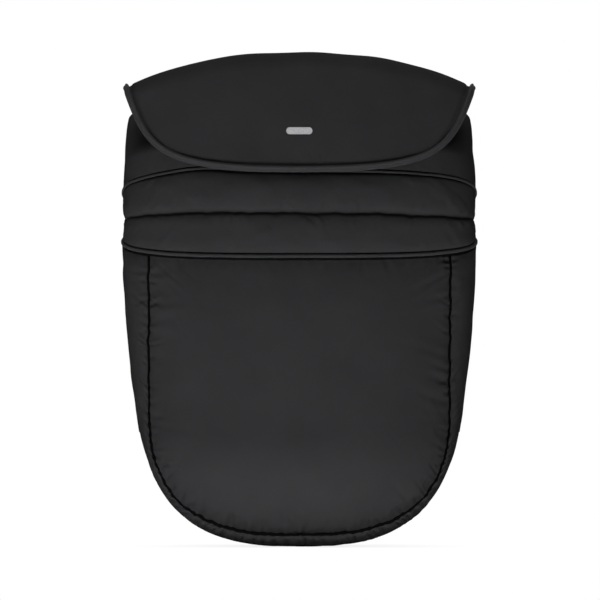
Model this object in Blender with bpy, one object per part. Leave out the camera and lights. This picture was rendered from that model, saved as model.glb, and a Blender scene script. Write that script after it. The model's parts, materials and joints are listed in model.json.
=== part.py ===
"""Stroller leg cover: a padded flap over the bumper bar, a quilted band and a foot pocket.

Metres, +Z up. The cover hangs upright as it is worn, and its front faces -Y. The origin is in
the middle of the room that the flap leaves for the bumper bar.
"""

import math

import bmesh
import bpy
import numpy as np
from mathutils import Matrix, Vector
from mathutils.geometry import tessellate_polygon

# Cloths and stuffings
SHELL_CLOTH = 0.0008
LINING_CLOTH = 0.0008
LAYER_GAP = 0.0003
SEAM_WADDING = 0.0006
FLAP_WADDING = 0.0026
BODY_WADDING = 0.0040
BAND_WADDING = 0.0115
PANEL_WADDING = 0.0060
GUSSET_WADDING = 0.0034
SEAM_THICKNESS = SHELL_CLOTH + LINING_CLOTH + SEAM_WADDING + 2 * LAYER_GAP
SEAM_GAP = 0.0006

# Half widths of the cover, all measured out from its widest piping
PIPING_HALF_WIDTH = 0.2032
CORNER_HALF_WIDTH = PIPING_HALF_WIDTH + 0.0004
TOP_HALF_WIDTH = PIPING_HALF_WIDTH - 0.0063
POCKET_HALF_WIDTH = PIPING_HALF_WIDTH + 0.0010
POCKET_BEND_HALF_WIDTH = POCKET_HALF_WIDTH - 0.01445
SEAM_BEND_HALF_WIDTH = POCKET_BEND_HALF_WIDTH - 0.01725

# Flap over the bumper bar
BAR_ROOM_RADIUS = 0.014
BAR_BOW = 0.012
CORNER_DROP = 0.0407
CORNER_HEIGHT = 0.006
FOLD_POWER = 2.4
FLAP_LENGTH = 0.1364
FLAP_SIDE_TAPER = 0.0263
FLAP_SIDE_LENGTH = 0.0729
FLAP_FOOT_PULL = 0.8134 * CORNER_HALF_WIDTH
FLAP_LEAN = 0.006
FLAP_CORNER_SHARE = 0.5
FLAP_HINGE_HALF_WIDTH = CORNER_HALF_WIDTH - 0.0096
HINGE_Y = 0.032
HINGE_GAP = 0.0006

# Bindings round cut edges
BINDING_CLOTH = 0.0011
BINDING_TIP = 0.002
BINDING_REACH = 0.0055
BINDING_GAP = 0.0008
BINDING_LAND = 0.008

# Heights below the fold, and the shape of the upper body
COVER_HEIGHT = 0.568
TOP_EDGE_DEPTH = 0.0645
UPPER_PIPING_DEPTH = 0.1362
QUILTING_DEPTH = 0.188
LOWER_PIPING_DEPTH = 0.2339
UPPER_PIPING_DROP = 0.036
LOWER_PIPING_RISE = 0.024
TOP_EDGE_SLOPE = 0.8
BAND_DRAW_IN = 0.0016
BODY_FRONT_Y = -0.014
TOP_SIDE_Y = 0.052
SIDE_Y = 0.036
HEM_Y = 0.080
WING_TUCK = 0.006
SIDE_ROUNDNESS = 3.2
TOP_FLARE = 1.4
BAR_SLOPE_SHARE = 0.66
STITCH_WIDTH = 0.0012
BAND_SIDE_FULLNESS = 0.15
CHANNEL_ROUNDNESS = 0.8
PIPING_RADIUS = 0.0018
PIPING_SEAT = PIPING_RADIUS + LAYER_GAP

# Foot pocket
POCKET_BEND_DEPTH = 0.3995
POCKET_SIDE_BOW = 0.0025
POCKET_HEEL_TAPER = 0.010
POCKET_HEEL_DROP = 0.076
POCKET_FOOT_PULL = 0.7835 * POCKET_HALF_WIDTH
FOOT_FLAT_HALF = 0.021
GUSSET_TOP_REACH = 0.0305
SEAM_BEND_DEPTH = 0.4225
SEAM_HEEL_DROP = 0.0675
SEAM_FOOT_PULL = 0.6758 * POCKET_HALF_WIDTH
GUSSET_FOOT_REACH = 0.0144
GUSSET_SEAM_FULLNESS = 0.1
GUSSET_PULL_SHARE = 0.55
GUSSET_SEAM_DIP = 0.002
GUSSET_FOOT_RISE = 0.003
GUSSET_EDGE_ROUND = 0.012
SEAM_Y = -0.0035
PANEL_CROWN_TOP = 0.016
PANEL_CROWN = 0.030
PANEL_FLATNESS = 3.0
PANEL_EDGE_SHARPNESS = 0.7
PANEL_SPINE_DEPTH = 0.450
TOP_BLEND = 0.060
FOOT_HEM_Y = 0.100
HEEL_STATION = 0.78
HEEL_BULGE = 0.010
ELASTIC_WIDTH = 0.005
HEEL_BINDING_INSET = 0.006
ELASTIC_THICKNESS = 0.0012

# Press studs and side straps
STUD_RADIUS = 0.0055
STUD_X = 0.517 * PIPING_HALF_WIDTH
STUD_DEPTH = 0.114
STUD_BASE = 0.0007
STUD_POST_RADIUS = 0.0020
STUD_POST = 0.0014
SOCKET_WALL = 0.0014
SOCKET_DEPTH = 0.0010
STRAP_DEPTH = 0.1244
STRAP_WIDTH = 0.025
STRAP_CLOTH = 0.0014
STRAP_LOOP_DEPTH = 0.027
STRAP_LOOP_ROOM = 0.030
STRAP_REAR_Y = 0.065
STRAP_PATCH = 0.012
STRAP_TAB = 0.012
STRAP_BEND = 0.006

# Plain reflective bar on the flap
MARK_DEPTH = 0.0902
MARK_WIDTH = 0.030
MARK_HEIGHT = 0.008
MARK_THICKNESS = 0.0005

# How finely the solids are cut
BEND_LENGTH = 0.06
GUSSET_FOOT_BEND_LENGTH = 0.02
SIDE_COLUMNS = 11
BODY_ROWS = 5
CHANNEL_ROWS = 5
FLAP_ROWS = 11
FLAP_COLUMNS = 7
SIDE_STATIONS = 5
HEEL_STATIONS = 7
PANEL_RINGS = 6
HEEL_COLUMNS = 7
GUSSET_RINGS = 5
TURNED_SIDES = 12
FINE_STEPS = np.linspace(0.0, 1.0, 201)
COARSE_STEPS = np.linspace(0.0, 1.0, 9)

FLAP_THICKNESS = SEAM_THICKNESS + FLAP_WADDING
FOLD_RADIUS = BAR_ROOM_RADIUS + FLAP_THICKNESS
FOLD_TOP = FOLD_RADIUS


def below(distance):
    """Height of a point given by its distance below the top of the fold."""
    return FOLD_TOP - distance


def mix(a, b, t):
    return a + (b - a) * t


def ease(t):
    """Smooth step from 0 to 1."""
    t = np.clip(t, 0.0, 1.0)
    return t * t * (3.0 - 2.0 * t)


def bezier(a, b, c, d, t):
    """Points of a cubic curve in the plane, one row for each t."""
    t = np.asarray(t, dtype=float)[..., None]
    a, b, c, d = (np.asarray(p, dtype=float) for p in (a, b, c, d))
    return (1 - t) ** 3 * a + 3 * (1 - t) ** 2 * t * b + 3 * (1 - t) * t * t * c + t**3 * d


def spread(path, count, land=0.0, bend_length=BEND_LENGTH):
    """Cut a path into count steps, finer at bends, and then one last step of length land.

    A bend of one radian counts as much as the given length of straight path.
    """
    steps = np.diff(path, axis=0)
    length = np.linalg.norm(steps, axis=1)
    keep = length > 1e-9
    path = np.vstack([path[:1], path[1:][keep]])
    steps, length = steps[keep], length[keep]
    heading = steps / length[:, None]
    turn = np.zeros(len(steps))
    turn[1:] = np.arccos(np.clip((heading[1:] * heading[:-1]).sum(axis=1), -1.0, 1.0))
    distance = np.concatenate([[0.0], np.cumsum(length)])
    measure = np.concatenate([[0.0], np.cumsum(length + bend_length * turn)])
    last = np.interp(distance[-1] - land, distance, measure)
    wanted = np.linspace(0.0, last, count + 1)
    if land:
        wanted = np.append(wanted, measure[-1])
    return np.column_stack([np.interp(wanted, measure, path[:, k]) for k in range(path.shape[1])])


# Objects and finishes


def clear_scene():
    for item in list(bpy.data.objects):
        bpy.data.objects.remove(item, do_unlink=True)


def finish(name, colour, roughness, metallic=0.0):
    material = bpy.data.materials.new(name)
    material.use_nodes = True
    shader = material.node_tree.nodes["Principled BSDF"]
    shader.inputs["Base Color"].default_value = (*colour, 1.0)
    shader.inputs["Roughness"].default_value = roughness
    shader.inputs["Metallic"].default_value = metallic
    material.diffuse_color = (*colour, 1.0)
    return material


def add_object(name, bm, colour, roughness, metallic=0.0, origin=(0.0, 0.0, 0.0)):
    """Turn a closed bmesh into a named object with its own finish and origin."""
    bmesh.ops.recalc_face_normals(bm, faces=bm.faces)
    bmesh.ops.translate(bm, vec=-Vector(origin), verts=bm.verts)
    mesh = bpy.data.meshes.new(name)
    bm.to_mesh(mesh)
    bm.free()
    mesh.materials.append(finish(name, colour, roughness, metallic))
    item = bpy.data.objects.new(name, mesh)
    item.location = origin
    bpy.context.collection.objects.link(item)
    return item


SHELL_LOOK = ((0.023, 0.023, 0.025), 0.55)
WADDING_LOOK = ((0.75, 0.75, 0.74), 0.95)
LINING_LOOK = ((0.030, 0.030, 0.033), 0.70)
TRIM_LOOK = ((0.028, 0.028, 0.030), 0.45)
ELASTIC_LOOK = ((0.045, 0.045, 0.048), 0.80)
STRAP_LOOK = ((0.020, 0.020, 0.022), 0.75)
STUD_LOOK = ((0.10, 0.10, 0.11), 0.30, 0.9)
MARK_LOOK = ((0.38, 0.38, 0.40), 0.35)


class Sheet:
    """A sewn panel: a grid of points on its outer face, with its layers stacked behind.

    Rows run down the front and columns to the right, so the face looks outwards. A sheet
    that goes round the foot has its rows along the U and its columns inwards. Fullness runs
    from 0 in a seam to 1 where the wadding has its whole thickness, and swell is the share
    of the wadding that stands out in front of the guide grid.
    """

    def __init__(self, guide, fullness, wadding, swell=0.0, round_the_foot=False):
        rows, columns = guide.shape[:2]
        places = {}
        points = []
        index = np.zeros((rows, columns), dtype=int)
        loft = []
        for r in range(rows):
            for c in range(columns):
                key = tuple(np.round(guide[r, c], 6))
                if key not in places:
                    places[key] = len(points)
                    points.append(guide[r, c])
                    loft.append(fullness[r, c])
                index[r, c] = places[key]
        self.index = index
        self.wadding = wadding * np.array(loft)
        self.triangles = []
        self.row_of = []
        for r in range(rows - 1):
            for c in range(columns - 1):
                corner = (index[r, c], index[r + 1, c], index[r + 1, c + 1], index[r, c + 1])
                left = 2 * r < rows - 1 if round_the_foot else 2 * c < columns - 1
                for picks in ((0, 1, 2), (0, 2, 3)) if left else ((0, 1, 3), (1, 2, 3)):
                    triangle = [corner[k] for k in picks]
                    if len(set(triangle)) == 3:
                        self.triangles.append(triangle)
                        self.row_of.append(r)
        points = np.array(points)
        a, b, c = (points[[t[k] for t in self.triangles]] for k in range(3))
        crossed = np.cross(b - a, c - a)
        crossed /= np.linalg.norm(crossed, axis=1)[:, None]
        normals = np.zeros_like(points)
        for k in range(3):
            np.add.at(normals, [t[k] for t in self.triangles], crossed)
        self.normals = normals / np.linalg.norm(normals, axis=1)[:, None]
        self.face = points + self.normals * (swell * self.wadding)[:, None]

    def square_edge(self, at, way):
        """Stack the layers along a given way at some of the edge's points."""
        self.normals[at] = way

    def layer(self, name, near, far, look, rows=None):
        """Closed solid between two depths behind the face, of some rows or of them all."""
        outer = self.face - self.normals * np.broadcast_to(near, len(self.face))[:, None]
        inner = self.face - self.normals * np.broadcast_to(far, len(self.face))[:, None]
        bm = bmesh.new()
        place = bm.verts.layers.int.new("place")
        verts = {}
        faces = []
        for triangle, row in zip(self.triangles, self.row_of):
            if rows and not rows[0] <= row < rows[1]:
                continue
            for k in triangle:
                if k not in verts:
                    verts[k] = bm.verts.new(outer[k])
                    verts[k][place] = k
            faces.append(bm.faces.new([verts[k] for k in triangle]))
        pushed = bmesh.ops.extrude_face_region(bm, geom=faces, use_keep_orig=True)
        for vert in pushed["geom"]:
            if isinstance(vert, bmesh.types.BMVert):
                vert.co = inner[vert[place]]
        return add_object(name, bm, *look)

    def wadding_depths(self):
        near = SHELL_CLOTH + LAYER_GAP
        return near, near + SEAM_WADDING + self.wadding

    def add_shell(self, name):
        return self.layer(name, 0.0, SHELL_CLOTH, SHELL_LOOK)

    def add_wadding(self, name, rows=None):
        near, far = self.wadding_depths()
        return self.layer(name, near, far, WADDING_LOOK, rows)

    def add_lining(self, name):
        near = self.wadding_depths()[1] + LAYER_GAP
        return self.layer(name, near, near + LINING_CLOTH, LINING_LOOK)

    def edge(self, cells, inner_cells):
        """Frames along a cut edge: middle of its thickness, way out, and face normal."""
        at = [self.index[cell] for cell in cells]
        inner = [self.index[cell] for cell in inner_cells]
        normals = self.normals[at]
        out = np.cross(np.gradient(self.face[at], axis=0), normals)
        inward = ((self.face[at] - self.face[inner]) * out).sum(axis=1) < 0.0
        out[inward] *= -1.0
        out /= np.linalg.norm(out, axis=1)[:, None]
        middle = self.face[at] - normals * SEAM_THICKNESS / 2
        return middle, out, normals


def sweep(name, frames, profile, look, mirrored_ends=False):
    """Closed solid of a profile of (outward, facing) pairs carried along edge frames."""
    bm = bmesh.new()
    rings = []
    for middle, out, face in zip(*frames):
        rings.append([bm.verts.new(middle + out * e + face * n) for e, n in profile])
    count = len(profile)
    for step, (ring, following) in enumerate(zip(rings, rings[1:])):
        turned_over = mirrored_ends and 2 * step >= len(rings) - 1
        for k in range(count):
            after = (k + 1) % count
            corner = (ring[k], ring[after], following[after], following[k])
            for picks in ((0, 1, 3), (1, 2, 3)) if turned_over else ((0, 1, 2), (0, 2, 3)):
                bm.faces.new([corner[p] for p in picks])
    for picks in tessellate_polygon([[Vector((e, n, 0.0)) for e, n in profile]]):
        for ring in (rings[0], rings[-1]):
            bm.faces.new([ring[p] for p in picks])
    return add_object(name, bm, *look)


def binding_profile(fold_depth):
    """Folded tape whose slot takes the panel's edge, and whose fold lies beyond it."""
    slot = SEAM_THICKNESS / 2 + BINDING_GAP
    half = slot + BINDING_CLOTH
    tip = fold_depth + BINDING_CLOTH
    return [
        (-BINDING_REACH, half),
        (tip - BINDING_CLOTH, half),
        (tip, 0.0),
        (tip - BINDING_CLOTH, -half),
        (-BINDING_REACH, -half),
        (-BINDING_REACH, -slot),
        (fold_depth, -slot),
        (fold_depth, slot),
        (-BINDING_REACH, slot),
    ]


# Upper body: sections round the front and sides


def section(half_width, front_y, side_y, count):
    """Half of a level section, from the middle of the front round the side to the hem."""
    turn = FINE_STEPS * math.pi / 2
    power = 2.0 / SIDE_ROUNDNESS
    x = half_width * np.sin(turn) ** power
    y = side_y - (side_y - front_y) * np.abs(np.cos(turn)) ** power
    wing = COARSE_STEPS[1:]
    x = np.append(x, half_width - WING_TUCK * wing)
    y = np.append(y, mix(side_y, HEM_Y, wing))
    return spread(np.column_stack([x, y]), count, BINDING_LAND)


def mirrored(half):
    """Whole row from a half row that starts on the middle plane."""
    left = half[:0:-1].copy()
    left[:, 0] *= -1.0
    return np.vstack([left, half])


def wrap(y):
    """0 at the front of the body, 1 at its hem."""
    return np.sin(math.pi / 2 * np.clip((y - BODY_FRONT_Y) / (HEM_Y - BODY_FRONT_Y), 0.0, 1.0))


def top_edge_z(y):
    return below(TOP_EDGE_DEPTH) - TOP_EDGE_SLOPE * np.maximum(y - HINGE_Y, 0.0)


def upper_piping_z(y):
    return below(UPPER_PIPING_DEPTH) - UPPER_PIPING_DROP * wrap(y)


def lower_piping_z(y):
    return below(LOWER_PIPING_DEPTH) + LOWER_PIPING_RISE * wrap(y)


def body_row_shape(share):
    """Half width, front and side depth of the upper body, from its top edge to the piping."""
    front_y = mix(HINGE_Y - SEAM_THICKNESS, BODY_FRONT_Y, ease(share / BAR_SLOPE_SHARE))
    side_y = mix(TOP_SIDE_Y, SIDE_Y, share)
    half_width = mix(TOP_HALF_WIDTH, PIPING_HALF_WIDTH, 1.0 - (1.0 - share) ** TOP_FLARE)
    return half_width, front_y, side_y


def full_inside(rows, columns, row_edges, column_edges):
    """Fullness grid: 1 inside, and 0 in the given numbers of rows and columns at each side."""
    fullness = np.ones((rows, columns))
    fullness[: row_edges[0]] = 0.0
    fullness[rows - row_edges[1] :] = 0.0
    fullness[:, : column_edges[0]] = 0.0
    fullness[:, columns - column_edges[1] :] = 0.0
    return fullness


def body_panel():
    rows = []
    for share in np.linspace(0.0, 1.0, BODY_ROWS + 1):
        row = mirrored(section(*body_row_shape(share), SIDE_COLUMNS))
        top = top_edge_z(row[:, 1]) - HINGE_GAP / 2
        foot = upper_piping_z(row[:, 1]) + PIPING_SEAT
        rows.append(np.column_stack([row, mix(top, foot, share)]))
    guide = np.array(rows)
    return Sheet(guide, full_inside(*guide.shape[:2], (1, 1), (2, 2)), BODY_WADDING)


def quilted_band():
    share = (QUILTING_DEPTH - UPPER_PIPING_DEPTH) / (LOWER_PIPING_DEPTH - UPPER_PIPING_DEPTH)
    stitch = STITCH_WIDTH / 2 / (LOWER_PIPING_DEPTH - UPPER_PIPING_DEPTH)
    along = np.linspace(0.0, 1.0, CHANNEL_ROWS + 1)
    shares = np.concatenate([along * (share - stitch), mix(share + stitch, 1.0, along)])
    loft = np.tile(np.sin(math.pi * along) ** CHANNEL_ROUNDNESS, 2)
    rows = []
    fullness = []
    for share, puff in zip(shares, loft):
        half_width = PIPING_HALF_WIDTH - BAND_DRAW_IN * math.sin(math.pi * share)
        row = mirrored(section(half_width, BODY_FRONT_Y, SIDE_Y, SIDE_COLUMNS))
        y = row[:, 1]
        top = upper_piping_z(y) - PIPING_SEAT
        foot = lower_piping_z(y) + PIPING_SEAT
        rows.append(np.column_stack([row, mix(top, foot, share)]))
        front = mix(1.0, BAND_SIDE_FULLNESS, ease((y - BODY_FRONT_Y) / (SIDE_Y - BODY_FRONT_Y)))
        full = puff * front
        full[:2] = 0.0
        full[-2:] = 0.0
        fullness.append(full)
    return Sheet(np.array(rows), np.array(fullness), BAND_WADDING, swell=1.0)


def add_piping(name, height):
    """Corded edge along the body's face, drawn in at its ends to clear the hem's binding."""
    half = section(PIPING_HALF_WIDTH, BODY_FRONT_Y, SIDE_Y, SIDE_COLUMNS)[:-1]
    row = mirrored(half)
    points = np.column_stack([row, height(row[:, 1])])
    curve = bpy.data.curves.new(name, "CURVE")
    curve.dimensions = "3D"
    curve.bevel_depth = PIPING_RADIUS
    curve.bevel_resolution = 1
    curve.use_fill_caps = True
    spline = curve.splines.new("POLY")
    spline.points.add(len(points) - 1)
    for knot, point in zip(spline.points, points):
        knot.co = (*point, 1.0)
    curve.materials.append(finish(name, *TRIM_LOOK))
    item = bpy.data.objects.new(name, curve)
    bpy.context.collection.objects.link(item)
    return item


# Flap


def fold_centre(x):
    """Depth and height of the bumper bar's middle at a distance from the middle plane."""
    share = np.abs(x) / CORNER_HALF_WIDTH
    return BAR_BOW * share**2, FOLD_TOP - CORNER_DROP * share**FOLD_POWER - FOLD_RADIUS


def flap_path(x):
    """Path of the flap's outer face from its seam behind the bar, over the fold and down."""
    centre_y, centre_z = fold_centre(x)
    seam = np.array([HINGE_Y, below(TOP_EDGE_DEPTH) + HINGE_GAP / 2])
    away = seam - (centre_y, centre_z)
    distance = max(float(np.linalg.norm(away)), FOLD_RADIUS)
    start = math.atan2(away[0], away[1]) - math.acos(FOLD_RADIUS / distance)
    turn = mix(start, -math.pi / 2, FINE_STEPS)
    arc = np.column_stack([np.sin(turn), np.cos(turn)]) * FOLD_RADIUS + (centre_y, centre_z)
    foot = (flap_front_y(x, below(FLAP_LENGTH)), below(FLAP_LENGTH))
    path = np.vstack([seam, arc, foot])
    walked = np.concatenate([[0.0], np.cumsum(np.linalg.norm(np.diff(path, axis=0), axis=1))])
    return path, walked


def flap_front_y(x, z):
    """Depth of the flap's hanging front at a height below the fold."""
    centre_y, centre_z = fold_centre(x)
    return centre_y - FOLD_RADIUS - FLAP_LEAN * (centre_z - z) / (FLAP_LENGTH - FOLD_RADIUS)


def flap_reach(x, z):
    """Distance along the flap from its seam to a height on its front."""
    path, walked = flap_path(x)
    top = int(np.argmax(path[:, 1]))
    return float(np.interp(-z, -path[top:, 1], walked[top:]))


def flap_point(x, distance):
    """Point of the flap's outer face at a distance from its seam."""
    path, walked = flap_path(x)
    return (x, np.interp(distance, walked, path[:, 0]), np.interp(distance, walked, path[:, 1]))


def flap_borders():
    """Borders of the flap's right half, as (x, distance from the seam) paths."""
    half = CORNER_HALF_WIDTH - BINDING_TIP
    corner = (half, below(CORNER_DROP))
    side = (half - FLAP_SIDE_TAPER, below(CORNER_DROP + FLAP_SIDE_LENGTH))
    foot = below(FLAP_LENGTH - BINDING_TIP)
    edge = bezier(corner, side, (FLAP_FOOT_PULL, foot), (0.0, foot), FINE_STEPS)
    edge = edge[edge[:, 1] < below(CORNER_DROP + CORNER_HEIGHT)]
    edge = np.array([(x, flap_reach(x, z)) for x, z in edge])
    fold_at = flap_reach(half, fold_centre(half)[1] + FOLD_RADIUS)
    back = FINE_STEPS[:, None]
    back = np.column_stack([mix(FLAP_HINGE_HALF_WIDTH, half, ease(back)), fold_at * back])
    turn = int(FLAP_CORNER_SHARE * len(edge))
    seam = np.array([(0.0, 0.0), (FLAP_HINGE_HALF_WIDTH, 0.0)])
    middle = np.array([(0.0, 0.0), (0.0, edge[-1, 1])])
    return seam, middle, np.vstack([back, edge[: turn + 1]]), edge[turn:][::-1]


def flap_panel():
    seam, middle, side, foot = flap_borders()
    seam, foot = (spread(path, FLAP_COLUMNS, BINDING_LAND) for path in (seam, foot))
    middle, side = (spread(path, FLAP_ROWS, BINDING_LAND) for path in (middle, side))
    along = walked_share(middle)[:, None, None]
    across = walked_share(seam)[None, :, None]
    corners = mix(mix(seam[0], seam[-1], across), mix(foot[0], foot[-1], across), along)
    plan = mix(seam[None], foot[None], along) + mix(middle[:, None], side[:, None], across) - corners
    half = np.array([[flap_point(*place) for place in row] for row in plan])
    left = half[:, :0:-1].copy()
    left[:, :, 0] *= -1.0
    guide = np.concatenate([left, half], axis=1)
    panel = Sheet(guide, full_inside(*guide.shape[:2], (1, 2), (2, 2)), FLAP_WADDING)
    panel.square_edge(panel.index[0], (0.0, 1.0, 0.0))
    return panel


def walked_share(path):
    """Share of a path's length walked at each of its points."""
    walked = np.concatenate([[0.0], np.cumsum(np.linalg.norm(np.diff(path, axis=0), axis=1))])
    return walked / walked[-1]


def flap_border(panel):
    """Cells round the flap's bound edge, with their inner neighbours."""
    rows, columns = panel.index.shape
    last, side = rows - 1, columns - 1
    left = [(r, 0) for r in range(1, last)]
    foot = [(last, c) for c in range(columns)]
    right = [(r, side) for r in range(1, last)][::-1]
    cells = left + foot + right
    inner = [(min(r, last - 1), min(max(c, 1), side - 1)) for r, c in cells]
    return panel.edge(cells, inner)


# Foot pocket


def outer_stations():
    """Half outline of the pocket from below the lower piping to the middle of its foot."""
    top = (POCKET_HALF_WIDTH, below(LOWER_PIPING_DEPTH) - PIPING_SEAT)
    bend = (POCKET_BEND_HALF_WIDTH, below(POCKET_BEND_DEPTH))
    third = (np.array(bend) - top) / 3
    bow = np.array([POCKET_SIDE_BOW, 0.0])
    side = bezier(top, top + third + bow, top + 2 * third + bow, bend, side_steps())
    heel = (bend[0] - POCKET_HEEL_TAPER, bend[1] - POCKET_HEEL_DROP)
    foot = below(COVER_HEIGHT)
    round_off = bezier(bend, heel, (POCKET_FOOT_PULL, foot), (FOOT_FLAT_HALF, foot), heel_steps())
    return np.vstack([side[:-1], round_off, [(0.0, foot)]])


def seam_stations():
    """Half outline of the seam between front panel and gusset, matched to the outline."""
    top = (POCKET_HALF_WIDTH - GUSSET_TOP_REACH, below(LOWER_PIPING_DEPTH) - PIPING_SEAT)
    bend = (SEAM_BEND_HALF_WIDTH, below(SEAM_BEND_DEPTH))
    side = bezier(top, mix(np.array(top), bend, 1 / 3), mix(np.array(top), bend, 2 / 3), bend,
                  side_steps())
    heel = (bend[0], bend[1] - SEAM_HEEL_DROP)
    foot = below(COVER_HEIGHT - GUSSET_FOOT_REACH)
    round_off = bezier(bend, heel, (SEAM_FOOT_PULL, foot), (FOOT_FLAT_HALF, foot), heel_steps())
    return np.vstack([side[:-1], round_off, [(0.0, foot)]])


def side_steps():
    return np.linspace(0.0, 1.0, SIDE_STATIONS + 1)


def heel_steps():
    return np.linspace(0.0, 1.0, HEEL_STATIONS + 1)


def round_u(half):
    """Whole U from its right half: down the left, round the foot and up the right."""
    left = half.copy()
    left[:, 0] *= -1.0
    return np.vstack([left, half[-2::-1]])


def top_share(z):
    """1 along the pocket's top edge, 0 from some way down."""
    return 1.0 - ease((below(LOWER_PIPING_DEPTH) - PIPING_SEAT - z) / TOP_BLEND)


def body_front_depth(x):
    """Depth of the body's face at the lower piping."""
    share = np.clip(np.abs(x) / PIPING_HALF_WIDTH, 0.0, 1.0)
    bulge = (1.0 - share**SIDE_ROUNDNESS) ** (1.0 / SIDE_ROUNDNESS)
    return SIDE_Y - (SIDE_Y - BODY_FRONT_Y) * bulge


def front_panel():
    seam = seam_stations()
    outline = outer_stations()
    inward = seam - outline
    inward /= np.linalg.norm(inward, axis=1)[:, None]
    edge = round_u(seam + inward * SEAM_GAP / 2)
    spine_end = below(PANEL_SPINE_DEPTH)
    reach = np.sin(np.linspace(0.0, math.pi / 2, PANEL_RINGS + 1))
    stations = []
    fullness = []
    for count, (edge_x, edge_z) in enumerate(edge):
        spine_z = max(edge_z, spine_end)
        x = reach * edge_x
        z = mix(spine_z, edge_z, reach)
        low = ease((below(LOWER_PIPING_DEPTH) - z) / (below(LOWER_PIPING_DEPTH) - spine_end))
        crown = mix(PANEL_CROWN_TOP, PANEL_CROWN, low) * (1.0 - reach**PANEL_FLATNESS) ** PANEL_EDGE_SHARPNESS
        top = top_share(z)
        y = mix(SEAM_Y - crown, body_front_depth(x), top)
        z = z + top * LOWER_PIPING_RISE * wrap(body_front_depth(x))
        stations.append(np.column_stack([x, y, z]))
        full = np.where(reach < 1.0, 1.0, 0.0)
        if count in (0, len(edge) - 1):
            full[:] = 0.0
        fullness.append(full)
    guide = np.array(stations)[:, ::-1]
    return Sheet(guide, np.array(fullness)[:, ::-1], PANEL_WADDING, round_the_foot=True)


def gusset_grid():
    seam = seam_stations()
    outline = outer_stations()
    outward = outline - seam
    reach = np.linalg.norm(outward, axis=1)
    outward /= reach[:, None]
    far_down = ease((below(LOWER_PIPING_DEPTH) - seam[:, 1]) / (COVER_HEIGHT - LOWER_PIPING_DEPTH))
    stations = []
    for place, way, width, low in zip(seam, outward, reach, far_down):
        leave = SEAM_Y + mix(GUSSET_SEAM_DIP, -GUSSET_FOOT_RISE, low)
        bend = bezier((SEAM_GAP / 2, SEAM_Y), (GUSSET_PULL_SHARE * width, leave),
                      (width, SEAM_Y + GUSSET_EDGE_ROUND), (width, SIDE_Y), FINE_STEPS)
        wing = COARSE_STEPS[1:]
        tuck = WING_TUCK * (1.0 - ease(2.0 * low - 1.0))
        back = np.column_stack([width - tuck * wing, mix(SIDE_Y, mix(HEM_Y, FOOT_HEM_Y, low), wing)])
        path = spread(np.vstack([bend, back]), GUSSET_RINGS, BINDING_LAND,
                      mix(BEND_LENGTH, GUSSET_FOOT_BEND_LENGTH, ease(3.0 * low)))
        flat = place + way * path[:, :1]
        z = flat[:, 1] + top_share(flat[:, 1]) * LOWER_PIPING_RISE * wrap(path[:, 1])
        stations.append(np.column_stack([flat[:, 0], path[:, 1], z]))
    half = np.array(stations)
    left = half.copy()
    left[:, :, 0] *= -1.0
    return np.concatenate([left, half[-2::-1]])


def gusset():
    guide = gusset_grid()[:, ::-1]
    full = full_inside(*guide.shape[:2], (1, 1), (2, 1))
    full[:, -2] *= GUSSET_SEAM_FULLNESS
    wall = Sheet(guide, full, GUSSET_WADDING, round_the_foot=True)
    for end in (0, 1, -2, -1):
        wall.square_edge(wall.index[end, -1], (0.0, -1.0, 0.0))
    return wall


def heel_span(stations):
    """First and last station of the U between which the heel panel closes the back."""
    first = round(HEEL_STATION * (SIDE_STATIONS + HEEL_STATIONS / 2))
    return first, stations - 1 - first


def heel_panel(guide):
    """Back of the foot pocket, hung behind the gusset's back edge."""
    stations = len(guide)
    first, last = heel_span(stations)
    middle = (stations - 1) // 2
    across = np.linspace(0.0, 1.0, HEEL_COLUMNS)
    rows = []
    for s in range(first, middle + 1):
        left, right = guide[s, -1], guide[stations - 1 - s, -1]
        row = mix(left, right, across[:, None])
        depth = 1.0 - (s - first) / (middle - first)
        bulge = HEEL_BULGE * (1.0 - (2.0 * across - 1.0) ** 2) * math.sqrt(max(depth, 0.0))
        row[:, 1] += SEAM_GAP + 2 * SHELL_CLOTH + LAYER_GAP + bulge
        rows.append(row)
    upper = rows[0] + (rows[0] - rows[1]) * min(BINDING_LAND / (rows[0][0, 2] - rows[1][0, 2]), 1.0)
    rows = [upper] + rows
    grid = np.array(rows)[:, ::-1]
    return Sheet(grid, np.zeros(grid.shape[:2]), 0.0)


# Press studs and straps


def turned(name, profile, place, facing, look):
    """Closed turned piece from (radius, height) pairs, its axis along facing."""
    bm = bmesh.new()
    verts = [bm.verts.new((r, 0.0, h)) for r, h in profile]
    edges = [bm.edges.new(pair) for pair in zip(verts, verts[1:])]
    if profile[0][0] > 0.0:
        edges.append(bm.edges.new((verts[-1], verts[0])))
    bmesh.ops.spin(bm, geom=verts + edges, axis=(0, 0, 1), cent=(0, 0, 0), angle=2 * math.pi,
                   steps=TURNED_SIDES, use_merge=True)
    bmesh.ops.remove_doubles(bm, verts=bm.verts, dist=1e-6)
    bmesh.ops.triangulate(bm, faces=bm.faces)
    turn = Vector(facing).to_track_quat("Z", "Y").to_matrix().to_4x4()
    bmesh.ops.transform(bm, matrix=Matrix.Translation(place) @ turn, verts=bm.verts)
    return add_object(name, bm, *look, origin=place)


def stud_profile():
    """Flat base with a raised post."""
    post = STUD_BASE + STUD_POST
    return [(0.0, 0.0), (STUD_RADIUS, 0.0), (STUD_RADIUS, STUD_BASE),
            (STUD_POST_RADIUS, STUD_BASE), (STUD_POST_RADIUS, post), (0.0, post)]


def socket_profile():
    """Ring that the post stands in."""
    hole = STUD_RADIUS - SOCKET_WALL
    return [(hole, 0.0), (STUD_RADIUS, 0.0), (STUD_RADIUS, SOCKET_DEPTH), (hole, SOCKET_DEPTH)]


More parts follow.
